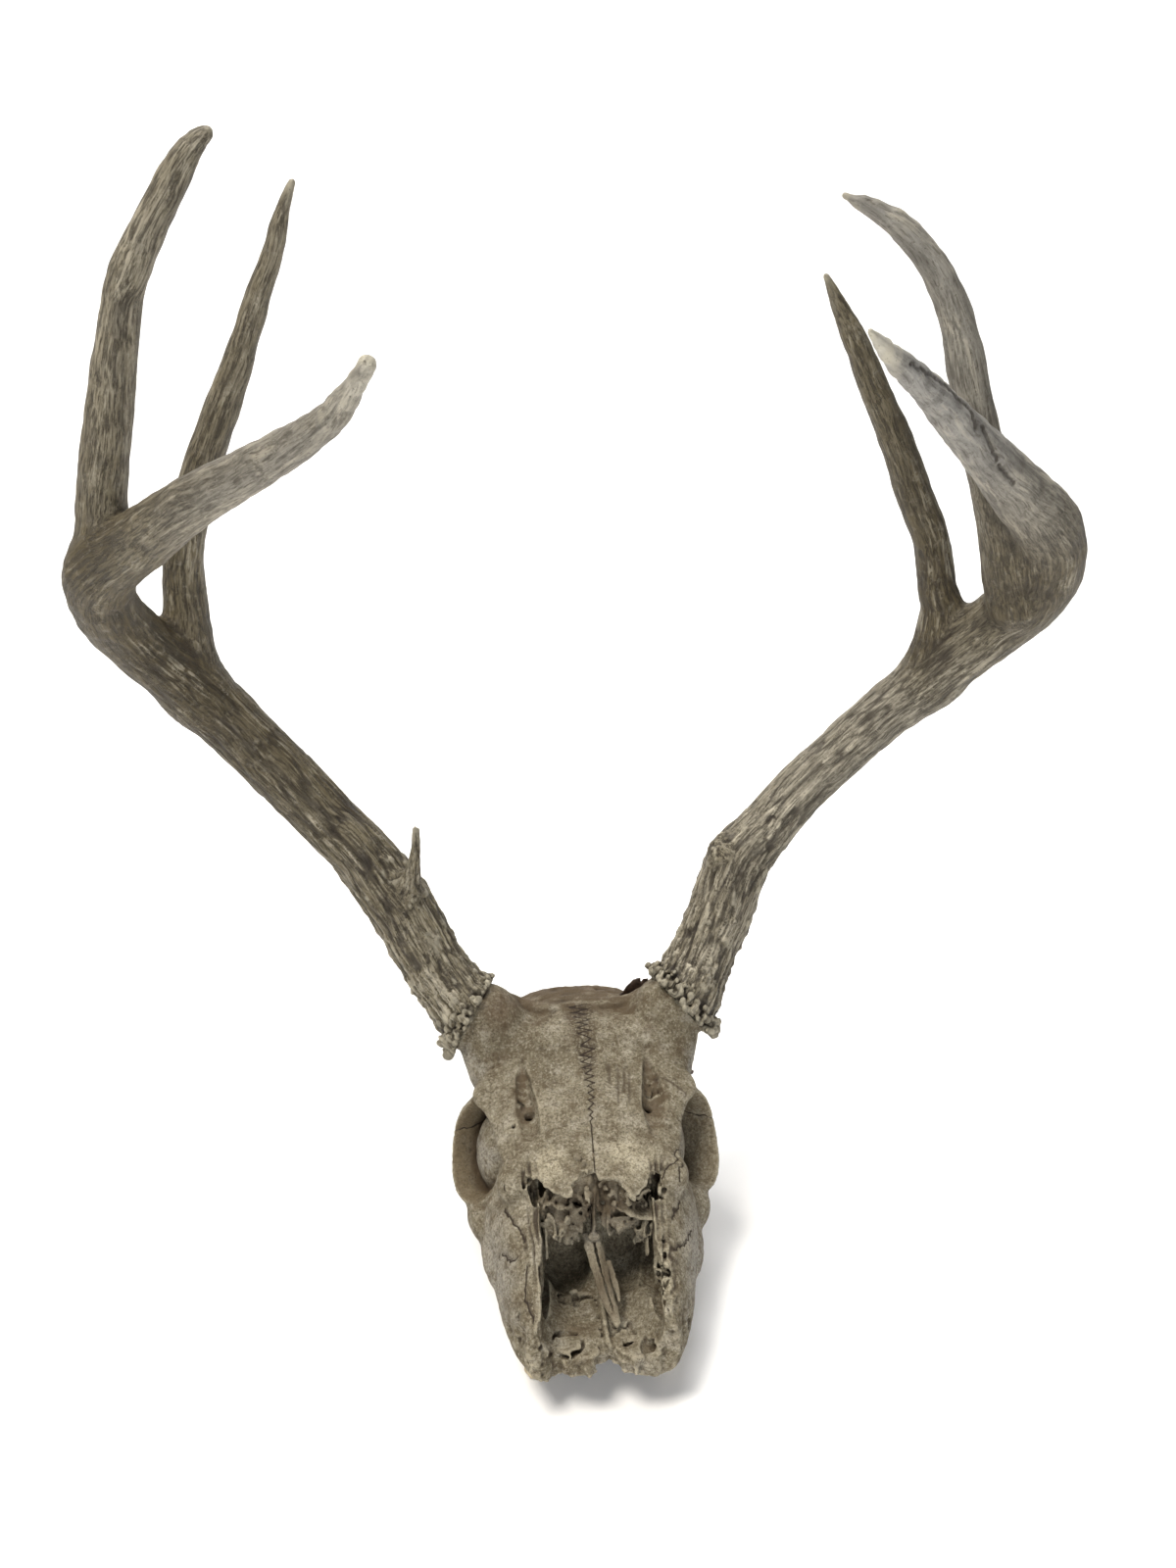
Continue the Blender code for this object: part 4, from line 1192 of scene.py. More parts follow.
def make_teeth(material):
    """Six grinding teeth a side, each in the box of its solid."""
    for side, sign in SIDES.items():
        for name, lobes in TEETH.items():
            node = f"{side}_{name}"
            block = tooth_form(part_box(node), lobes, sign)
            tooth = block.skin(f"{node}_crown")
            spots = skull_points(tooth)
            keep = np.clip(spots[:, 2] / 0.8, 0, 1)
            press(tooth, keep * (0.12 * noise(spots, 1.6, 25) - 0.12))
            thin_out(tooth, TOOTH_TRIANGLES)
            spots = skull_points(tooth)
            note(tooth, "crevice", block.at(block.crowding(0.9), spots))
            note(tooth, "gum", np.clip((spots[:, 2] - 3.0) / 6.0, 0, 1))
            settle(tooth, material, "tooth", node)


# Hide.

HIDE_TRIANGLES = 20000


def make_hide_scrap(material):
    """A dry curled flake of hide that stands on the braincase behind the left stalk."""
    block = Block((10, 40, 74), (60, 94, 118), 0.4)
    flake = (
        (20, 58, 103, 3.0, 0.8), (26, 54, 104.5, 6.4, 1.0), (32, 53, 104, 9.0, 1.0), (38, 56, 100, 5.0, 0.8),
    )
    block.join(band(flake, (0, 0, 1)))
    block.join(band(((42, 89, 83, 1.6, 1.0), (47.5, 87, 82, 2.4, 1.2), (52, 85, 80, 1.4, 0.9)), (0, 0, 1)))
    spots = spots_of(*block.grid())
    block.field += 0.5 * noise(spots, 4.0, 33) + 0.25 * noise(spots, 1.7, 34)
    scrap = block.skin("hide_flake")
    thin_out(scrap, HIDE_TRIANGLES)
    note(scrap, "crevice", block.at(block.crowding(1.2), skull_points(scrap)))
    settle(scrap, material, "hide", "dried_hide_scrap")


# Antlers.

# Each antler's branches, in rows of (x, ahead, up, radius).
BRANCHES = {
    "right": {
        "beam": (
            (-46, 72, 104, 17.0),
            (-52, 68, 111, 16.5),
            (-59, 64, 119, 15.0),
            (-67, 58, 129, 14.6),
            (-81, 47, 154, 15.4),
            (-98, 38, 177, 14.0),
            (-109, 33, 188, 13.5),
            (-128, 27, 209, 13.9),
            (-148, 24, 232, 14.1),
            (-165, 28, 255, 14.6),
            (-183, 48, 285, 13.5),
            (-188, 66, 304, 13.3),
            (-184, 84, 323, 13.0),
            (-163, 104, 340, 11.4),
            (-137, 132, 360, 9.4),
            (-104, 166, 381, 7.0),
            (-81, 195, 398, 4.8),
            (-68.5, 215.3, 415, 2.9),
        ),
        "brow_tine": ((-80, 50, 158, 7.0), (-75, 56, 170, 4.6), (-72, 59, 186, 2.6), (-71, 61, 199, 1.6)),
        "second_tine": (
            (-166, 27, 252, 13.0),
            (-165, 30, 285, 10.0),
            (-163, 34, 312, 8.6),
            (-159, 38, 329, 8.1),
            (-150, 43, 353, 7.7),
            (-138, 48, 378, 7.1),
            (-127, 52, 402, 5.8),
            (-119, 56, 421, 4.9),
            (-112, 58, 435, 4.2),
            (-107, 61, 449, 3.1),
            (-102, 63, 460, 1.4),
        ),
        "third_tine": (
            (-184, 80, 322, 10.5),
            (-177, 92, 354, 9.3),
            (-167, 103, 387, 8.4),
            (-159, 110, 414, 7.2),
            (-152, 114, 433, 6.5),
            (-137, 118, 456, 5.8),
            (-127, 119, 470, 4.3),
            (-121.5, 119, 474.6, 2.8),
        ),
    },
    "left": {
        "beam": (
            (44, 71, 105, 18.0),
            (50, 67, 112, 17.5),
            (55, 62, 120, 15.6),
            (62, 56, 133, 14.8),
            (68, 51, 145, 15.2),
            (78, 42, 168, 14.7),
            (92, 36, 182, 13.0),
            (108, 30, 198, 12.3),
            (126, 25, 213, 12.3),
            (144, 22, 229, 12.5),
            (164, 24, 247, 13.7),
            (178, 34, 267, 14.2),
            (188, 46, 283, 14.2),
            (196, 62, 301, 13.8),
            (194, 76, 318, 13.7),
            (183, 92, 337, 13.2),
            (160, 115, 356, 11.0),
            (135, 140, 376, 8.2),
            (110, 168, 395, 6.0),
            (94, 186, 407, 4.5),
            (80, 203, 416, 2.9),
            (71, 217, 423, 1.3),
        ),
        "broken_tine": ((76, 44, 167, 9.0), (69.5, 46.5, 174.5, 6.8)),
        "second_tine": (
            (167, 24, 250, 12.5),
            (167, 29, 283, 9.7),
            (163, 31, 295, 8.8),
            (157, 35, 317, 7.9),
            (146, 40, 338, 7.9),
            (135, 45, 361, 7.2),
            (122, 51, 383, 6.1),
            (109, 57, 406, 4.9),
            (96, 62, 427, 1.4),
        ),
        "third_tine": (
            (187, 62, 300, 13.0),
            (172, 76, 332, 10.2),
            (158, 88, 359, 8.4),
            (145, 97, 389, 7.5),
            (135, 104, 413, 6.5),
            (125, 108, 430, 5.7),
            (112, 110, 444, 4.7),
            (99, 110, 452, 3.4),
            (89, 110, 456, 1.4),
        ),
    },
}
# How dark and how cool each branch's colour is, as (length along, dark, cool). Dark below 0 is pale.
TONES = {
    "right": {
        "beam": ((0, 0.3, 0.0), (60, 0.3, 0.0), (110, 0.7, 0.0), (190, 1.0, 0.0), (310, 1.0, 0.0),
                 (345, 0.6, 0.1), (400, 0.35, 0.6), (462, 0.2, 0.6), (486, -0.8, 0.4)),
        "brow_tine": ((0, 0.5, 0.0), (60, 0.3, 0.0)),
        "second_tine": ((0, 1.0, 0.0), (50, 0.8, 0.0), (120, 0.5, 0.1), (240, 0.4, 0.2)),
        "third_tine": ((0, 0.9, 0.0), (40, 0.5, 0.1), (100, 0.3, 0.2), (180, 0.3, 0.2)),
    },
    "left": {
        "beam": ((0, 0.4, 0.1), (50, 0.3, 0.2), (110, 0.2, 0.3), (190, 0.3, 0.4), (250, 0.6, 0.2),
                 (300, 0.95, 0.1), (345, 0.4, 0.5), (400, 0.2, 0.9), (475, 0.1, 1.0), (500, -1.0, 0.7)),
        "broken_tine": ((0, 0.4, 0.1), (30, 0.3, 0.1)),
        "second_tine": ((0, 1.0, 0.0), (60, 1.0, 0.0), (120, 0.8, 0.0), (220, 0.6, 0.0)),
        "third_tine": ((0, 1.0, 0.0), (50, 0.6, 0.2), (100, 0.3, 0.6), (180, 0.2, 0.8)),
    },
}
# Dark cracks in the left beam's end and where the stump of its brow tine meets the beam.
ANTLER_CRACKS = {
    "right": (),
    "left": (
        ((90, 196, 411.7), (100.5, 184.7, 406.5), (108.5, 175.7, 402), (120, 164.5, 394), (126, 160, 386)),
        ((128.7, 156.8, 386.8), (133.4, 152.4, 380), (139.6, 145.4, 372.6)),
        ((141.3, 143.5, 370.5), (146.3, 138.8, 366), (150.8, 134.9, 362.2)),
        ((62.5, 47.8, 179.5), (73, 50, 183.4), (81.8, 48, 187.7), (92.7, 45, 191.5)),
    ),
}
# How far from the burr each branch starts, along the antler.
BRANCH_STARTS = {
    "beam": 0.0, "brow_tine": 80.0, "broken_tine": 80.0, "second_tine": 210.0, "third_tine": 290.0,
}
# Rings of knobs round a burr: how many, their radius, how far out and how far along.
BURR_RINGS = ((36, 1.9, 1.2, 1.2), (34, 1.9, 0.2, 3.9), (28, 1.7, -1.8, 6.8))
# Furrows in the grain: their spacing, depth and seed.
FURROWS = ((2.3, 1.3, 70), (1.4, 1.0, 80), (4.5, 0.5, 85))
# The grain is drawn out along a branch by this much.
GRAIN_STRETCH = 11.0
POINTS_AT_ONCE = 20000
PIECES = {
    "right": ("lower_beam", "middle_beam", "beam_end", "brow_tine", "second_tine", "third_tine"),
    "left": ("lower_beam", "middle_beam", "beam_end", "second_tine", "third_tine"),
}


def branch(rows):
    """A round tapering branch through rows of (x, ahead, up, radius)."""
    rows = smooth_rows(rows, 3)
    margin = 9.0

    def distance(x, ahead, up):
        found = np.full(np.broadcast_shapes(x.shape, ahead.shape, up.shape), FAR, np.float32)
        for start, end in zip(rows, rows[1:]):
            reach = max(start[3], end[3]) + margin
            low, high = np.minimum(start, end)[:3] - reach, np.maximum(start, end)[:3] + reach
            cut, spots = cut_out((x, ahead, up), low, high)
            if not all(axis.size for axis in spots):
                continue
            run = (end - start)[:3]
            away = [axis - start[k] for k, axis in enumerate(spots)]
            t = np.clip(sum(away[k] * run[k] for k in range(3)) / (run @ run), 0, 1)
            gap = np.sqrt(sum((away[k] - t * run[k]) ** 2 for k in range(3)))
            found[cut] = np.minimum(found[cut], gap - start[3] - t * (end[3] - start[3]))
        return found

    reach = rows[:, 3:4]
    return Form((rows[:, :3] - reach).min(axis=0), (rows[:, :3] + reach).max(axis=0), distance)


def grown_along(rows):
    """A branch's middle line: places, radii, length so far, and two ways across that don't twist."""
    rows = smooth_rows(rows, 5)
    centres = rows[:, :3]
    along = unit(np.gradient(centres, axis=0))
    run = np.concatenate([[0], np.cumsum(np.linalg.norm(np.diff(centres, axis=0), axis=1))])
    across = [unit(np.cross(along[0], (0.3, 1.0, 0.2)))]
    for way in along[1:]:
        across.append(unit(across[-1] - way * (across[-1] @ way)))
    across = np.array(across)
    return centres, rows[:, 3], run, across, np.cross(along, across)


def on_branch(points, line):
    """Where points are on a branch: two ways across it and along it, and how far from its surface."""
    centres, radii, run, across, beside_way = line
    found = np.empty((len(points), 4), np.float32)
    for begin in range(0, len(points), POINTS_AT_ONCE):
        part = points[begin : begin + POINTS_AT_ONCE]
        gaps = np.linalg.norm(part[:, None, :] - centres[None], axis=2) - radii[None]
        nearest = gaps.argmin(axis=1)
        before = np.clip(nearest - 1, 0, len(centres) - 2)
        best = None
        for first in (before, np.minimum(before + 1, len(centres) - 2)):
            step = centres[first + 1] - centres[first]
            away = part - centres[first]
            t = np.clip((away * step).sum(axis=1) / (step**2).sum(axis=1), 0, 1)
            away = away - step * t[:, None]
            blend = t[:, None]
            ways = [way[first] * (1 - blend) + way[first + 1] * blend for way in (across, beside_way)]
            radius = radii[first] + t * (radii[first + 1] - radii[first])
            row = np.stack(
                [
                    (away * ways[0]).sum(axis=1),
                    (away * ways[1]).sum(axis=1),
                    run[first] + t * (run[first + 1] - run[first]),
                    np.linalg.norm(away, axis=1) - radius,
                ],
                axis=1,
            )
            best = row if best is None else np.where((row[:, 3] < best[:, 3])[:, None], row, best)
        found[begin : begin + POINTS_AT_ONCE] = best
    return found


def burr_knobs(side):
    """The ring of knobs round an antler's base."""
    axis = unit(BURR_TILT[side])
    across = unit(np.cross(axis, (0, 0, 1)))
    beside_way = np.cross(axis, across)
    random = np.random.default_rng(3 if side == "right" else 4)
    knobs = []
    for ring, (count, size, reach, along) in enumerate(BURR_RINGS):
        for i in range(count):
            turn = 2 * math.pi * (i + 0.5 * ring) / count + random.uniform(-0.07, 0.07)
            away = BURR_RADIUS[side] + reach + random.uniform(-1.0, 0.9)
            spot = np.array(beside_burr(side, along + random.uniform(-0.9, 0.9)))
            spot = spot + (across * math.cos(turn) + beside_way * math.sin(turn)) * away
            radii = size * random.uniform(0.8, 1.2, 3)
            knobs.append(lump(spot, radii, turn=random.uniform(0, 180, 3)))
    return knobs


def furrows(points, side):
    """An antler's surface at points: how far it stands out, how far along, its tones and its grain."""
    lines = {name: grown_along(rows) for name, rows in BRANCHES[side].items()}
    total = np.zeros((len(points), 4), np.float32)
    weights = np.zeros((len(points), 1), np.float32)
    grain = np.zeros((len(points), 3), np.float32)
    nearest = np.full(len(points), 1e9, np.float32)
    for number, (name, line) in enumerate(lines.items()):
        there = on_branch(points, line)
        along, gap = there[:, 2], there[:, 3]
        weight = (np.exp(-np.clip(gap, -3, 30) / 1.5) + 1e-9)[:, None]
        wander = noise(points, 14.0, 60 + number)[:, None] * np.array([1.2, -1.0])
        grained = np.concatenate([there[:, :2] + wander, there[:, 2:3] / GRAIN_STRETCH], axis=1)
        ridges = 0.7
        for size, depth, seed in FURROWS:
            ridges = ridges - depth * np.exp(-((noise(grained, size, seed + number) / 0.16) ** 2))
        tones = [np.interp(along, *column) for column in tone_columns(TONES[side][name])]
        total += weight * np.stack([ridges, along + BRANCH_STARTS[name], *tones], axis=-1)
        weights += weight
        closer = gap < nearest
        nearest[closer] = gap[closer]
        grain[closer] = grained[closer] + 37.0 * number
    relief, far_along, dark, cool = (total / weights).T
    return relief, far_along, dark, cool, grain


def tone_columns(rows):
    """Length and dark, and length and cool, each as two rows for looking up."""
    along, dark, cool = zip(*rows)
    return (along, dark), (along, cool)


def crack_depth(points, side):
    """How deep in one of an antler's cracks points are, from 0 to 1."""
    depth = np.zeros(len(points), np.float32)
    for number, crack in enumerate(ANTLER_CRACKS[side]):
        rows = smooth_rows(crack, 8)
        rows = rows + np.random.default_rng(number).uniform(-0.5, 0.5, rows.shape)
        low, high = rows.min(axis=0) - 12, rows.max(axis=0) + 12
        close = np.flatnonzero(((points > low) & (points < high)).all(axis=1))
        gap = np.full(len(close), 99.0)
        for start, end in zip(rows, rows[1:]):
            run, away = end - start, points[close] - start
            t = np.clip(away @ run / (run @ run), 0, 1)
            gap = np.minimum(gap, np.linalg.norm((away - t[:, None] * run) * (1, 0.3, 1), axis=1))
        depth[close] = np.maximum(depth[close], np.exp(-((gap / 0.8) ** 2)))
    return depth


def make_antler(side, material):
    """An antler: its branches and burr as one form, its furrows and knobs pressed into the mesh."""
    nodes = [f"{side}_antler_{piece}" for piece in PIECES[side]]
    corners = skull_frame(np.array([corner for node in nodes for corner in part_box(node)]))
    block = Block(corners.min(axis=0) - 4, corners.max(axis=0) + 4, ANTLER_STEP)
    for rows in BRANCHES[side].values():
        block.join(branch(rows), 7.0)
    if side == "left":
        # The brow tine is broken off to a hollow stump.
        block.carve(lump((64, 53, 188.5), (15, 13, 8.5), turn=(0, -20, 0)), 0.4)
    for knob in burr_knobs(side):
        block.join(knob, 0.6)
    block.carve(burr_plane(side, 34, past=0.15, sign=1), 0.5)
    antler = block.skin(f"{side}_antler")
    spots = skull_points(antler)
    relief, far_along = furrows(spots, side)[:2]
    coarse = np.clip(1.2 - far_along / 330, 0.2, 1)
    pearls = np.clip(noise(spots, 2.8, 91) - 0.1, 0, 1) * np.clip(1.3 - far_along / 70, 0, 1)
    knobs = 1.3 * np.clip(noise(spots, 3.8, 95) - 0.2, 0, 1) * np.clip((110 - far_along) / 25, 0, 1)
    knobbly = np.clip((far_along - 430) / 40, 0, 1) * noise(spots, 4.0, 92)
    crack = crack_depth(spots, side)
    bumpy = 0.35 * noise(spots, 9.0, 93) + 0.2 * noise(spots, 4.5, 94)
    press(antler, coarse * 0.5 * relief + 1.2 * (pearls + knobs) + bumpy + 0.5 * knobbly - 0.9 * crack - 0.2)
    thin_out(antler, ANTLER_TRIANGLES)
    spots = skull_points(antler)
    relief, far_along, dark, cool, grain = furrows(spots, side)
    note(antler, "relief", relief)
    note(antler, "far_along", np.clip(far_along / 450, 0, 1))
    note(antler, "dark", dark)
    note(antler, "cool", cool)
    note(antler, "grain", grain)
    # Painted shade where branches meet and between the burr's knobs, together with the real dark of the cracks.
    note(antler, "crevice", np.maximum(block.at(block.crowding(2.0), spots), crack_depth(spots, side)))
    settle(antler, material, "antler", *nodes)


# Materials.


def colour(code):
    """The linear colour of an sRGB hex value."""
    parts = [int(code[i : i + 2], 16) / 255 for i in (1, 3, 5)]
    return (*(c / 12.92 if c <= 0.04045 else ((c + 0.055) / 1.055) ** 2.4 for c in parts), 1.0)


def add(tree, kind, inputs=None, **settings):
    """A node with its settings; each input is a value, or another node's output to link."""
    made = tree.nodes.new(kind)
    for name, value in settings.items():
        setattr(made, name, value)
    for name, value in (inputs or {}).items():
        if isinstance(value, bpy.types.NodeSocket):
            tree.links.new(value, made.inputs[name])
        else:
            made.inputs[name].default_value = value
    return made


def surface_material(name):
    """A new material and its shader."""
    made = bpy.data.materials.new(name)
    made.use_nodes = True
    return made, made.node_tree, made.node_tree.nodes["Principled BSDF"]


def tinted(tree, under, layers):
    """A base colour with layers over it, each as (source, start, full, most, colour)."""
    for source, low, high, most, code in layers:
        amount = add(
            tree,
            "ShaderNodeMapRange",
            {"Value": source, "From Min": low, "From Max": high, "To Min": 0.0, "To Max": most},
        ).outputs["Result"]
        mixed = add(tree, "ShaderNodeMix", {0: amount, 6: under, 7: colour(code)}, data_type="RGBA")
        under = mixed.outputs[2]
    return under


def weathered_bone():
    """Old bone bleached and soiled outdoors: a chalky, porous face, with brown painted shade in its hollows,
    crevices and sheltered places.
    """
    made, tree, shader = surface_material("weathered bone")
    spot = add(tree, "ShaderNodeTexCoord").outputs["Object"]
    noises = {
        name: add(
            tree,
            "ShaderNodeTexNoise",
            {"Vector": spot, "Scale": 1 / (size * MM), "Detail": detail, "Roughness": 0.65},
        ).outputs["Fac"]
        for name, size, detail in (
            ("cloudy", 26, 5.0),
            ("blotchy", 9, 5.0),
            ("mottled", 3.6, 6.0),
            ("grainy", 1.2, 5.0),
            ("speckled", 0.7, 4.0),
        )
    }
    # Real pores are 0.1 to 0.3 mm wide. They are drawn 1.7 mm apart, and the speckles 0.7 mm, to show.
    pores = add(
        tree, "ShaderNodeTexVoronoi", {"Vector": spot, "Scale": 1 / (1.7 * MM), "Randomness": 1.0}
    ).outputs["Distance"]
    marks = {
        name: add(tree, "ShaderNodeAttribute", attribute_name=name).outputs["Fac"]
        for name in ("crevice", "hollow", "shelter_shade", "vessel", "socket", "soil", "rust", "cream", "grey")
    }
    # A seam is drawn about 0.5 mm wide, coarser than life: its distance to one side changes sign there.
    seam = add(
        tree,
        "ShaderNodeSeparateXYZ",
        {"Vector": add(tree, "ShaderNodeAttribute", attribute_name="seam").outputs["Vector"]},
    ).outputs
    aside = add(tree, "ShaderNodeMath", {0: seam[0]}, operation="ABSOLUTE").outputs[0]
    # The tangled part of the middle seam: the edges of cells 3 mm wide and half as long, bent by noise.
    bent = add(tree, "ShaderNodeTexNoise", {"Vector": spot, "Scale": 1 / (3 * MM), "Detail": 2.0})
    shift = add(tree, "ShaderNodeVectorMath", {0: bent.outputs["Color"], "Scale": 2.2 * MM}, operation="SCALE")
    moved = add(tree, "ShaderNodeVectorMath", {0: spot, 1: shift.outputs["Vector"]}, operation="ADD")
    cell = (1 / (3.0 * MM), 1 / (1.7 * MM), 1 / (6 * MM))
    cells = add(tree, "ShaderNodeMapping", {"Vector": moved.outputs["Vector"], "Scale": cell})
    edges = add(
        tree,
        "ShaderNodeTexVoronoi",
        {"Vector": cells.outputs["Vector"], "Scale": 1.0},
        feature="DISTANCE_TO_EDGE",
    ).outputs["Distance"]
    on_line, close, thread = (
        add(
            tree,
            "ShaderNodeMapRange",
            {"Value": source, "From Min": low, "From Max": high, "To Min": 1.0, "To Max": 0.0},
        ).outputs["Result"]
        for source, low, high in ((aside, 0.15, 0.42), (seam[1], 0.6, 1.0), (edges, 0.05, 0.14))
    )
    line = add(tree, "ShaderNodeMath", {0: on_line, 1: close}, operation="MULTIPLY").outputs[0]
    tangle = add(tree, "ShaderNodeMath", {0: thread, 1: seam[2]}, operation="MULTIPLY").outputs[0]
    layers = (
        (noises["cloudy"], 0.42, 0.62, 0.8, "#7c7461"),
        (marks["grey"], 0.15, 0.8, 0.9, "#8a867c"),
        (marks["cream"], 0.15, 0.8, 0.8, "#a59c84"),
        (noises["blotchy"], 0.50, 0.66, 0.8, "#544936"),
        (noises["blotchy"], 0.48, 0.34, 0.6, "#968f7f"),
        (noises["mottled"], 0.52, 0.66, 0.6, "#4d4332"),
        (noises["mottled"], 0.47, 0.34, 0.3, "#9b9484"),
        (noises["grainy"], 0.51, 0.64, 0.7, "#43392b"),
        (noises["grainy"], 0.46, 0.34, 0.45, "#aaa28f"),
        (marks["crevice"], 0.44, 0.30, 0.5, "#a39a84"),
        (marks["rust"], 0.1, 0.8, 0.8, "#534230"),
        (marks["soil"], 0.1, 0.9, 0.85, "#4a3d2b"),
        # Painted shade on the faces inside the eye sockets that turn towards the eye.
        (marks["socket"], 0.1, 0.9, 0.75, "#5a4d38"),
        (noises["speckled"], 0.54, 0.64, 0.65, "#3a3125"),
        (pores, 0.22, 0.08, 0.45, "#3a3024"),
        (marks["vessel"], 0.3, 0.9, 0.5, "#40352a"),
        # Painted shade: darker in hollows, sheltered places and crevices, where shade falls.
        (marks["hollow"], 0.53, 0.70, 0.6, "#4a3c29"),
        (marks["shelter_shade"], 0.54, 0.78, 0.6, "#463825"),
        (marks["crevice"], 0.56, 0.78, 0.85, "#2b2117"),
        (tangle, 0.2, 0.8, 0.65, "#33281c"),
        (line, 0.2, 0.8, 0.95, "#271e15"),
    )
    tree.links.new(tinted(tree, colour("#665e4b"), layers), shader.inputs["Base Color"])
    shader.inputs["Roughness"].default_value = 0.78
    shader.inputs["Specular IOR Level"].default_value = 0.25
    normal = {}
    for height, strength, depth in (
        (noises["speckled"], 0.6, 0.35),
        (noises["grainy"], 0.7, 0.6),
        (noises["mottled"], 0.7, 0.9),
        (line, 0.4, -0.4),
    ):
        relief = {"Strength": strength, "Distance": depth * MM, "Height": height, **normal}
        normal = {"Normal": add(tree, "ShaderNodeBump", relief).outputs["Normal"]}
    tree.links.new(normal["Normal"], shader.inputs["Normal"])
    return made


def weathered_antler():
    """Antler left outdoors: a hard furrowed rind, dark in the furrows, rubbed pale on the ridges, with painted
    shade where branches meet and round the knobs of its burr.
    """
    made, tree, shader = surface_material("weathered antler")
    grain = add(tree, "ShaderNodeAttribute", attribute_name="grain").outputs["Vector"]
    spot = add(tree, "ShaderNodeTexCoord").outputs["Object"]
    # The grain is in millimetres across the branch and drawn out along it. Real hairlines are about
    # 0.2 mm wide, and they are drawn 0.6 mm wide to show.
    noises = {
        name: add(
            tree,
            "ShaderNodeTexNoise",
            {"Vector": vector, "Scale": scale, "Detail": detail, "Roughness": 0.7},
        ).outputs["Fac"]
        for name, vector, scale, detail in (
            ("streaks", grain, 1 / 1.2, 4.0),
            ("hairs", grain, 1 / 0.6, 3.0),
            ("dashes", grain, 1 / 0.9, 1.0),
            ("bands", grain, 1 / 5.0, 5.0),
            ("cloudy", spot, 1 / (18 * MM), 4.0),
            ("mottled", spot, 1 / (3.5 * MM), 6.0),
            ("flecked", spot, 1 / (1.3 * MM), 3.0),
        )
    }
    marks = {
        name: add(tree, "ShaderNodeAttribute", attribute_name=name).outputs["Fac"]
        for name in ("relief", "crevice", "far_along", "dark", "cool")
    }
    parts = {
        name: add(
            tree,
            "ShaderNodeMapRange",
            {"Value": source, "From Min": low, "From Max": high, "To Min": start, "To Max": end},
        ).outputs["Result"]
        for name, source, low, high, start, end in (
            ("near_burr", marks["far_along"], 0.1, 0.75, 1.0, 0.5),
            ("furrow", marks["relief"], 0.25, -0.6, 0.0, 1.0),
            ("ridge", marks["relief"], 0.1, 0.65, 0.0, 1.0),
            ("streak", noises["streaks"], 0.50, 0.60, 0.0, 1.0),
            ("rubbed", noises["bands"], 0.46, 0.60, 0.0, 1.0),
            ("calm", marks["cool"], 0.2, 0.8, 1.0, 0.3),
            ("hair", noises["hairs"], 0.52, 0.62, 0.0, 1.0),
        )
    }
    for name, one, other in (
        ("deep", "furrow", "near_burr"),
        ("fine_dark", "hair", "calm"),
        ("sharp", "streak", "calm"),
        ("high", "ridge", "rubbed"),
        ("white", "high", "near_burr"),
    ):
        product = add(tree, "ShaderNodeMath", {0: parts[one], 1: parts[other]}, operation="MULTIPLY")
        parts[name] = product.outputs[0]
    layers = (
        (noises["cloudy"], 0.45, 0.65, 0.5, "#8b8370"),
        (noises["hairs"], 0.48, 0.38, 0.6, "#9b927d"),
        (marks["cool"], 0.0, 1.0, 0.8, "#7e7d7a"),
        (marks["dark"], 0.1, 1.0, 0.88, "#40361f"),
        (parts["fine_dark"], 0.0, 1.0, 0.6, "#373022"),
        (parts["white"], 0.05, 0.9, 0.6, "#b3ab97"),
        (parts["deep"], 0.15, 1.0, 0.7, "#282115"),
        (parts["sharp"], 0.1, 1.0, 0.65, "#2b2418"),
        (noises["dashes"], 0.60, 0.66, 0.5, "#332b1f"),
        (marks["dark"], -0.1, -1.0, 0.6, "#b5b0a2"),
        (noises["mottled"], 0.56, 0.70, 0.25, "#a49d8c"),
        (marks["crevice"], 0.42, 0.30, 0.5, "#a39c88"),
        (noises["flecked"], 0.62, 0.70, 0.7, "#352d21"),
        # Painted shade where branches meet and between the knobs of the burr, and the real dark of the cracks.
        (marks["crevice"], 0.52, 0.74, 0.85, "#251d13"),
    )
    tree.links.new(tinted(tree, colour("#6f6650"), layers), shader.inputs["Base Color"])
    shader.inputs["Roughness"].default_value = 0.58
    shader.inputs["Specular IOR Level"].default_value = 0.35
    fine = add(tree, "ShaderNodeBump", {"Strength": 0.5, "Distance": 0.25 * MM, "Height": noises["hairs"]})
    coarse = {"Strength": 0.7, "Distance": -0.7 * MM, "Height": parts["sharp"]}
    bump = add(tree, "ShaderNodeBump", {**coarse, "Normal": fine.outputs["Normal"]})
    tree.links.new(bump.outputs["Normal"], shader.inputs["Normal"])
    return made


def worn_enamel():
    """Grinding teeth: hard glossy cream enamel, tea-brown towards the gum and near black in its folds."""
    made, tree, shader = surface_material("worn enamel")
    spot = add(tree, "ShaderNodeTexCoord").outputs["Object"]
    streaky = add(
        tree, "ShaderNodeTexNoise", {"Vector": spot, "Scale": 1 / (2.5 * MM), "Detail": 4.0, "Roughness": 0.6}
    ).outputs["Fac"]
    gum = add(tree, "ShaderNodeAttribute", attribute_name="gum").outputs["Fac"]
    crevice = add(tree, "ShaderNodeAttribute", attribute_name="crevice").outputs["Fac"]
    layers = (
        (streaky, 0.42, 0.62, 0.6, "#8f7c58"),
        (gum, 0.1, 1.0, 0.8, "#5e4a30"),
        (crevice, 0.52, 0.72, 0.95, "#241a11"),
    )
    tree.links.new(tinted(tree, colour("#b8a985"), layers), shader.inputs["Base Color"])
    shader.inputs["Roughness"].default_value = 0.32
    shader.inputs["IOR"].default_value = 1.62
    bump = add(tree, "ShaderNodeBump", {"Strength": 0.3, "Distance": 0.2 * MM, "Height": streaky})
    tree.links.new(bump.outputs["Normal"], shader.inputs["Normal"])
    return made


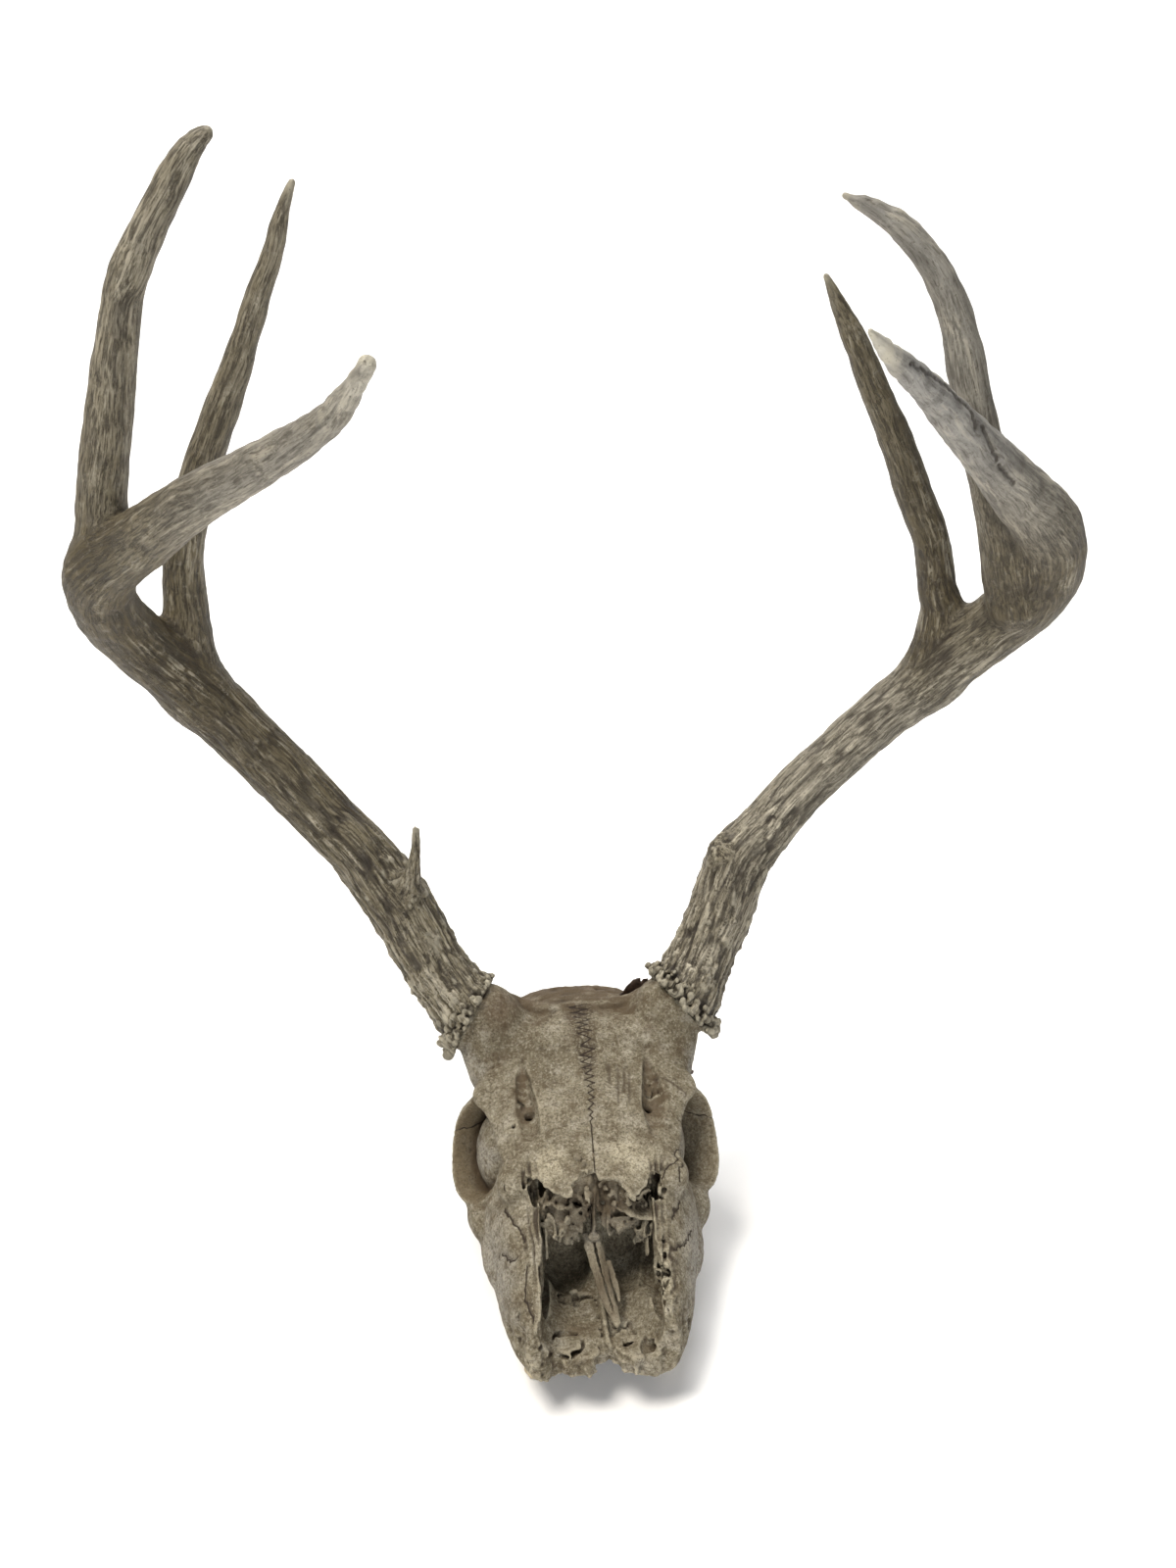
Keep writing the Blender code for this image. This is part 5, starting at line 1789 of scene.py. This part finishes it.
def dried_hide():
    """Rawhide dried hard outdoors: near-black brown, wrinkled, with a dull waxy sheen on its edges."""
    made, tree, shader = surface_material("dried hide")
    spot = add(tree, "ShaderNodeTexCoord").outputs["Object"]
    wrinkled = add(
        tree, "ShaderNodeTexNoise", {"Vector": spot, "Scale": 1 / (2 * MM), "Detail": 6.0, "Roughness": 0.7}
    ).outputs["Fac"]
    layers = ((wrinkled, 0.4, 0.65, 1.0, "#4d3a2c"),)
    tree.links.new(tinted(tree, colour("#2b1f18"), layers), shader.inputs["Base Color"])
    shader.inputs["Roughness"].default_value = 0.55
    bump = add(tree, "ShaderNodeBump", {"Strength": 0.8, "Distance": 0.5 * MM, "Height": wrinkled})
    tree.links.new(bump.outputs["Normal"], shader.inputs["Normal"])
    return made


# The room, in metres.

SWEEP_HALF = 4.0
SWEEP_FRONT = -2.5
SWEEP_BEND = 1.2
SWEEP_RADIUS = 0.8
SWEEP_TOP = 4.0
SWEEP_STEPS = 12
# The floor lies this much under the teeth, so that the two don't share a plane.
FLOOR_GAP = 0.0004


def add_light(name, spot, aim, size, power, tint):
    """A large soft lamp."""
    lamp = bpy.data.lights.new(name, "AREA")
    lamp.shape = "DISK"
    lamp.size = size
    lamp.energy = power
    lamp.color = colour(tint)[:3]
    obj = bpy.data.objects.new(name, lamp)
    obj.location = spot
    obj.rotation_euler = (Vector(aim) - Vector(spot)).to_track_quat("-Z", "Y").to_euler()
    bpy.context.scene.collection.objects.link(obj)


def make_room():
    """A pale sweep of floor that rises behind, soft lamps and a pale sky."""
    rows = [(SWEEP_FRONT, 0.0), (SWEEP_BEND, 0.0)]
    for i in range(1, SWEEP_STEPS + 1):
        turn = math.radians(90 / SWEEP_STEPS * i)
        over, rise = SWEEP_RADIUS * math.sin(turn), SWEEP_RADIUS * math.cos(turn)
        rows.append((SWEEP_BEND + over, SWEEP_RADIUS - rise))
    rows.append((SWEEP_BEND + SWEEP_RADIUS, SWEEP_TOP))
    points = [(x, y, z - FLOOR_GAP) for y, z in rows for x in (-SWEEP_HALF, SWEEP_HALF)]
    faces = np.array([(2 * i, 2 * i + 1, 2 * i + 3, 2 * i + 2) for i in range(len(rows) - 1)], np.int32)
    sweep = new_piece("floor_sweep", points, faces)
    sweep.data.shade_smooth()
    paper, _, shader = surface_material("matt paper")
    shader.inputs["Base Color"].default_value = colour("#f3f2f0")
    shader.inputs["Roughness"].default_value = 0.9
    sweep.data.materials.append(paper)
    add_light("overhead", (-0.8, -0.45, 2.2), (0, 0, 0.2), 0.9, 54.0, "#fffaf3")
    add_light("backdrop_wash", (0, 1.0, 3.2), (0, 2.0, 1.2), 1.6, 85.0, "#ffffff")
    add_light("front_fill", (0.15, -1.6, 0.55), (0, 0, 0.1), 0.9, 15.0, "#f6f9ff")
    world = bpy.data.worlds.new("pale_sky")
    world.use_nodes = True
    sky = world.node_tree.nodes["Background"]
    sky.inputs["Color"].default_value = colour("#fbfcff")
    sky.inputs["Strength"].default_value = 0.22
    bpy.context.scene.world = world
    bpy.context.scene.view_settings.view_transform = "Standard"


def make_camera():
    """The photograph's view, from in front of the nose and above it, looking down at the face."""
    tilt, turn = math.radians(24.0), math.radians(4.7)
    ahead = Vector((math.sin(turn) * math.cos(tilt), math.cos(turn) * math.cos(tilt), -math.sin(tilt)))
    lens = bpy.data.cameras.new("view")
    lens.lens = 31.5
    lens.sensor_width = 36.0
    camera = bpy.data.objects.new("view", lens)
    camera.location = place((-40.0, 609.0, 463.0))
    camera.rotation_euler = ahead.to_track_quat("-Z", "Y").to_euler()
    bpy.context.scene.collection.objects.link(camera)
    bpy.context.scene.camera = camera


def main():
    """The view, the room and the pieces."""
    make_camera()
    make_room()
    bone = weathered_bone()
    antler = weathered_antler()
    make_skull(bone)
    make_nose_bones(bone)
    make_teeth(worn_enamel())
    make_hide_scrap(dried_hide())
    for side in SIDES:
        make_antler(side, antler)


main()
